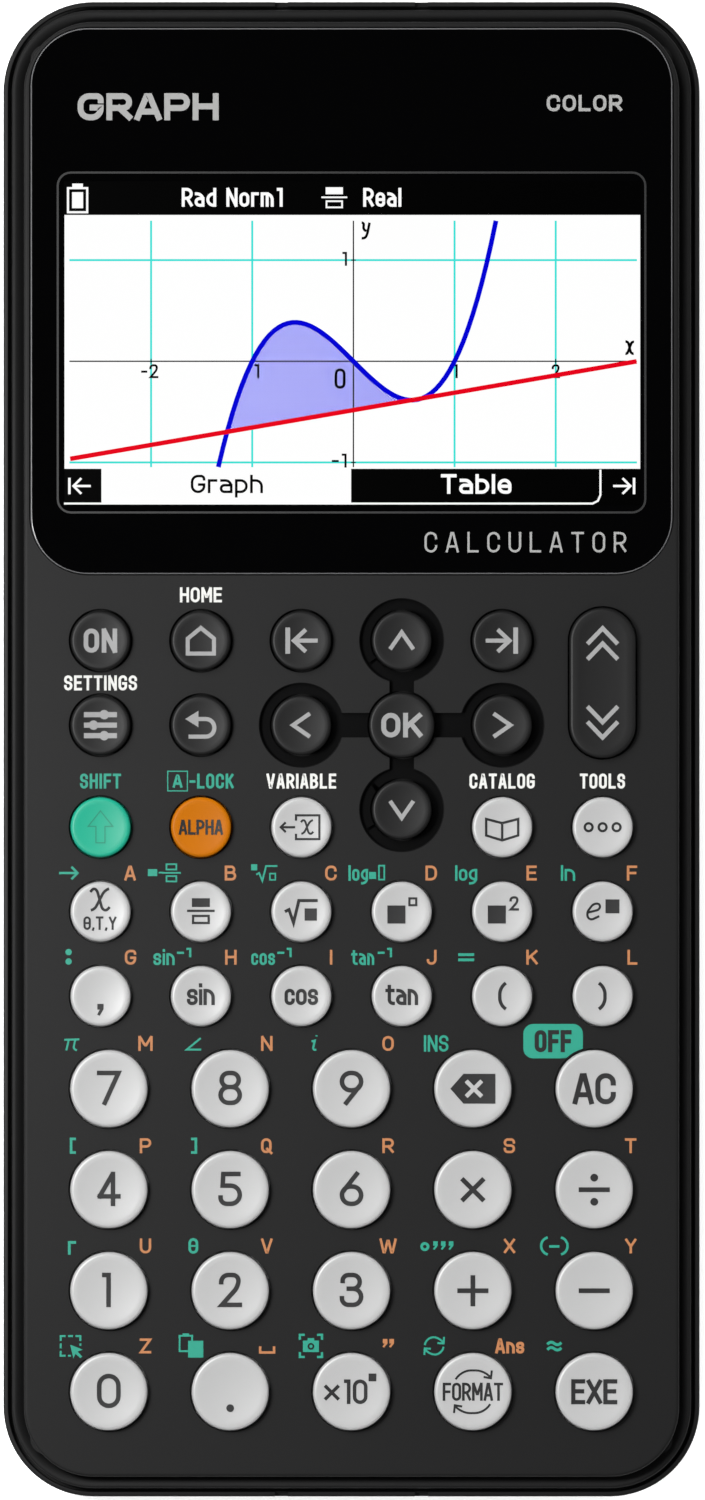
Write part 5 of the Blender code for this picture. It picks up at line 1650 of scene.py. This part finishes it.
def green_icons(ink):
    ink.path("-1.15,0 1.05,0 | 0.35,0.75 1.1,0 0.35,-0.75", 0.28, at("key_x_theta_t", -3.9, 4.70))
    ink.bar(1.15, 0.85, at("key_fraction", -5.9, 4.75))
    ink.path("-0.2,0 0.3,0", 0.2, at("key_fraction", -4.95, 4.75))
    ink.frame(1.4, 0.85, 0.2, at("key_fraction", -3.6, 5.45)).bar(2.3, 0.2, at("key_fraction", -3.6, 4.72))
    ink.frame(1.4, 0.85, 0.2, at("key_fraction", -3.6, 4.0))
    ink.path("-1.1,-0.1 -0.75,0.1 -0.35,-0.85 0.1,0.95 1.5,0.95", 0.22, at("key_square_root", -4.4, 4.6))
    ink.frame(0.85, 0.95, 0.18, at("key_square_root", -3.5, 4.25))
    ink.bar(0.75, 0.75, at("key_square_root", -5.75, 5.4))
    letter_pi = "-0.9,0.55 0.95,0.6 | -0.35,0.55 -0.65,-0.75 | 0.45,0.55 0.2,-0.55r 0.65,-0.75"
    ink.path(letter_pi, 0.24, at("key_7", -4.55, 5.4), corner=0.3)
    ink.path("0.85,0.7 -0.85,-0.7 0.9,-0.7", 0.24, at("key_8", -4.44, 5.45))
    letter_i = "-0.3,0.3 0.1,0.4 -0.15,-0.75r 0.3,-0.7 | 0.3,0.9 0.32,1.05"
    ink.path(letter_i, 0.26, at("key_9", -4.58, 5.45), corner=0.3)
    ink.ring(1.1, 0.33, at("key_add", -5.85, 5.35))
    for x in (-4.55, -3.6, -2.65):
        ink.area(COMMA, at("key_add", x, 5.55), 1.0)
    select = at("key_0", -4.68, 5.55)
    for x, y in ((-1, 1), (1, 1), (-1, -1)):
        ink.path(f"{x * 1.2},{y * 0.6} {x * 1.2},{y * 1.2} {x * 0.6},{y * 1.2}", 0.24, select)
    ink.path("-0.3,1.2 0.3,1.2 | -1.2,-0.3 -1.2,0.3 | -0.3,-1.2 0.05,-1.2 | 1.2,0.3 1.2,0.0", 0.24, select)
    ink.area("c -0.05,0.15 1.5,-0.45 0.85,-0.7 1.45,-1.3 1.2,-1.5 0.6,-0.95 0.35,-1.55", select)
    paste = at("key_decimal_point", -4.81, 5.55)
    ink.frame(1.75, 2.1, 0.22, (paste[0] - 0.6, paste[1] + 0.3))
    ink.bar(0.8, 0.35, (paste[0] - 0.6, paste[1] + 1.35))
    ink.bar(1.85, 2.05, (paste[0] + 0.6, paste[1] - 0.4))
    snap = at("key_times_ten_power", -4.95, 5.55)
    for x in (-1, 1):
        for y in (-1, 1):
            ink.path(f"{x * 1.35},{y * 0.75} {x * 1.35},{y * 1.35} {x * 0.75},{y * 1.35}", 0.28, snap)
    ink.bar(1.95, 1.4, (snap[0], snap[1] - 0.05)).bar(0.8, 0.4, (snap[0], snap[1] + 0.75))
    turn_arrows = at("key_format", -4.71, 5.55)
    for arrow in (
        "-1.15,0.1 -0.9,1.0r 0.6,1.1r 1.1,0.4 | 1.2,1.1 1.15,0.3 0.4,0.35",
        "1.15,-0.1 0.9,-1.0r -0.6,-1.1r -1.1,-0.4 | -1.2,-1.1 -1.15,-0.3 -0.4,-0.35",
    ):
        ink.path(arrow, 0.24, turn_arrows, corner=0.8)
    for y in (0.35, -0.3):
        wave = "-0.85,-0.12 -0.45,0.3r 0.0,0.0 0.45,-0.3r 0.85,0.12"
        ink.path(wave, 0.34, at("key_execute", -4.85, 5.5 + y), corner=0.4)


# ---------------------------------------------------------------- light and floor
def studio():
    """A pale floor, a soft broad key light from the upper left, gentle fills and a light underneath."""
    bm = bmesh.new()
    bmesh.ops.create_grid(bm, x_segments=1, y_segments=1, size=6.0)
    bmesh.ops.translate(bm, vec=(0, 0, -0.00004), verts=bm.verts)
    floor = add_piece("floor", bm)
    finish = Finish("floor_paper", (0.93, 0.93, 0.93), 0.8)
    finish.vary_colour((0.925, 0.925, 0.925), (0.95, 0.95, 0.95), finish.noise(0.4))
    clear = finish.node("ShaderNodeBsdfTransparent", {}, {})
    under = finish.node("ShaderNodeNewGeometry", {}, {}, "Backfacing")
    shader = Wire(finish, finish.shader.outputs[0])
    mixed = finish.node("ShaderNodeMixShader", {}, {0: under, 1: shader, 2: clear})
    surface = finish.tree.nodes["Material Output"].inputs["Surface"]
    finish.tree.links.new(mixed.socket, surface)
    finish.set("Emission Color", (1.0, 1.0, 1.0, 1.0))
    finish.set("Emission Strength", 0.5)
    floor.data.materials.append(finish.material)
    floor.visible_shadow = False
    lamps = (
        ("key", (-0.55, 0.62, 1.0), 3.7, 34.0),
        ("fill", (0.8, 0.1, 1.0), 1.0, 38.0),
        ("front_fill", (-0.1, -0.9, 0.9), 0.75, 50.0),
        ("under", (-0.2, 0.3, -1.0), 1.6, 60.0),
    )
    for name, away, strength, angle in lamps:
        data = bpy.data.lights.new(name, "SUN")
        data.energy = strength
        data.angle = math.radians(angle)
        lamp = bpy.data.objects.new(name, data)
        lamp.rotation_mode = "QUATERNION"
        lamp.rotation_quaternion = Vector(away).to_track_quat("Z", "Y")
        bpy.context.scene.collection.objects.link(lamp)


def sheen_lamp():
    """A near lamp at the left that is seen only as the sheen on satin plastic."""
    data = bpy.data.lights.new("sheen", "AREA")
    data.shape = "DISK"
    data.size = 0.09
    data.energy = 2.3
    lamp = bpy.data.objects.new("sheen", data)
    lamp.location = (-0.150, 0.005, 0.270)
    away = lamp.location - Vector((-0.02, 0.0, FACE_Z))
    lamp.rotation_mode = "QUATERNION"
    lamp.rotation_quaternion = away.to_track_quat("Z", "Y")
    lamp.visible_diffuse = False
    bpy.context.scene.collection.objects.link(lamp)


def surroundings():
    """A room that is bright at the horizon and dark overhead, where the window would mirror it."""
    world = bpy.data.worlds.new("studio")
    bpy.context.scene.world = world
    world.use_nodes = True
    nodes, links = world.node_tree.nodes, world.node_tree.links
    place = nodes.new("ShaderNodeTexCoord")
    split = nodes.new("ShaderNodeSeparateXYZ")
    ramp = nodes.new("ShaderNodeValToRGB")
    ramp.color_ramp.interpolation = "EASE"
    ramp.color_ramp.elements[0].position = 0.15
    ramp.color_ramp.elements[0].color = (0.95, 0.95, 0.95, 1.0)
    ramp.color_ramp.elements[1].position = 0.85
    ramp.color_ramp.elements[1].color = (0.02, 0.02, 0.02, 1.0)
    links.new(place.outputs["Generated"], split.inputs["Vector"])
    links.new(split.outputs["Z"], ramp.inputs["Fac"])
    links.new(ramp.outputs["Color"], nodes["Background"].inputs["Color"])
    nodes["Background"].inputs["Strength"].default_value = 1.1


def dress_display_module():
    """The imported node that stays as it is, in a finish of its own."""
    mesh = frame["nodes"]["display_module"].data
    mesh.materials.clear()
    mesh.materials.append(FINISHES["module"])


def build():
    camera()
    make_finishes()
    front_shell()
    rear_shell()
    battery_door()
    battery_cells()
    contacts()
    screws()
    board()
    keypad_mat()
    window()
    display_picture()
    round_keys()
    page_rocker()
    key_legends()
    delete_cross()
    shell_legends()
    dress_display_module()
    surroundings()
    studio()
    sheen_lamp()


build()
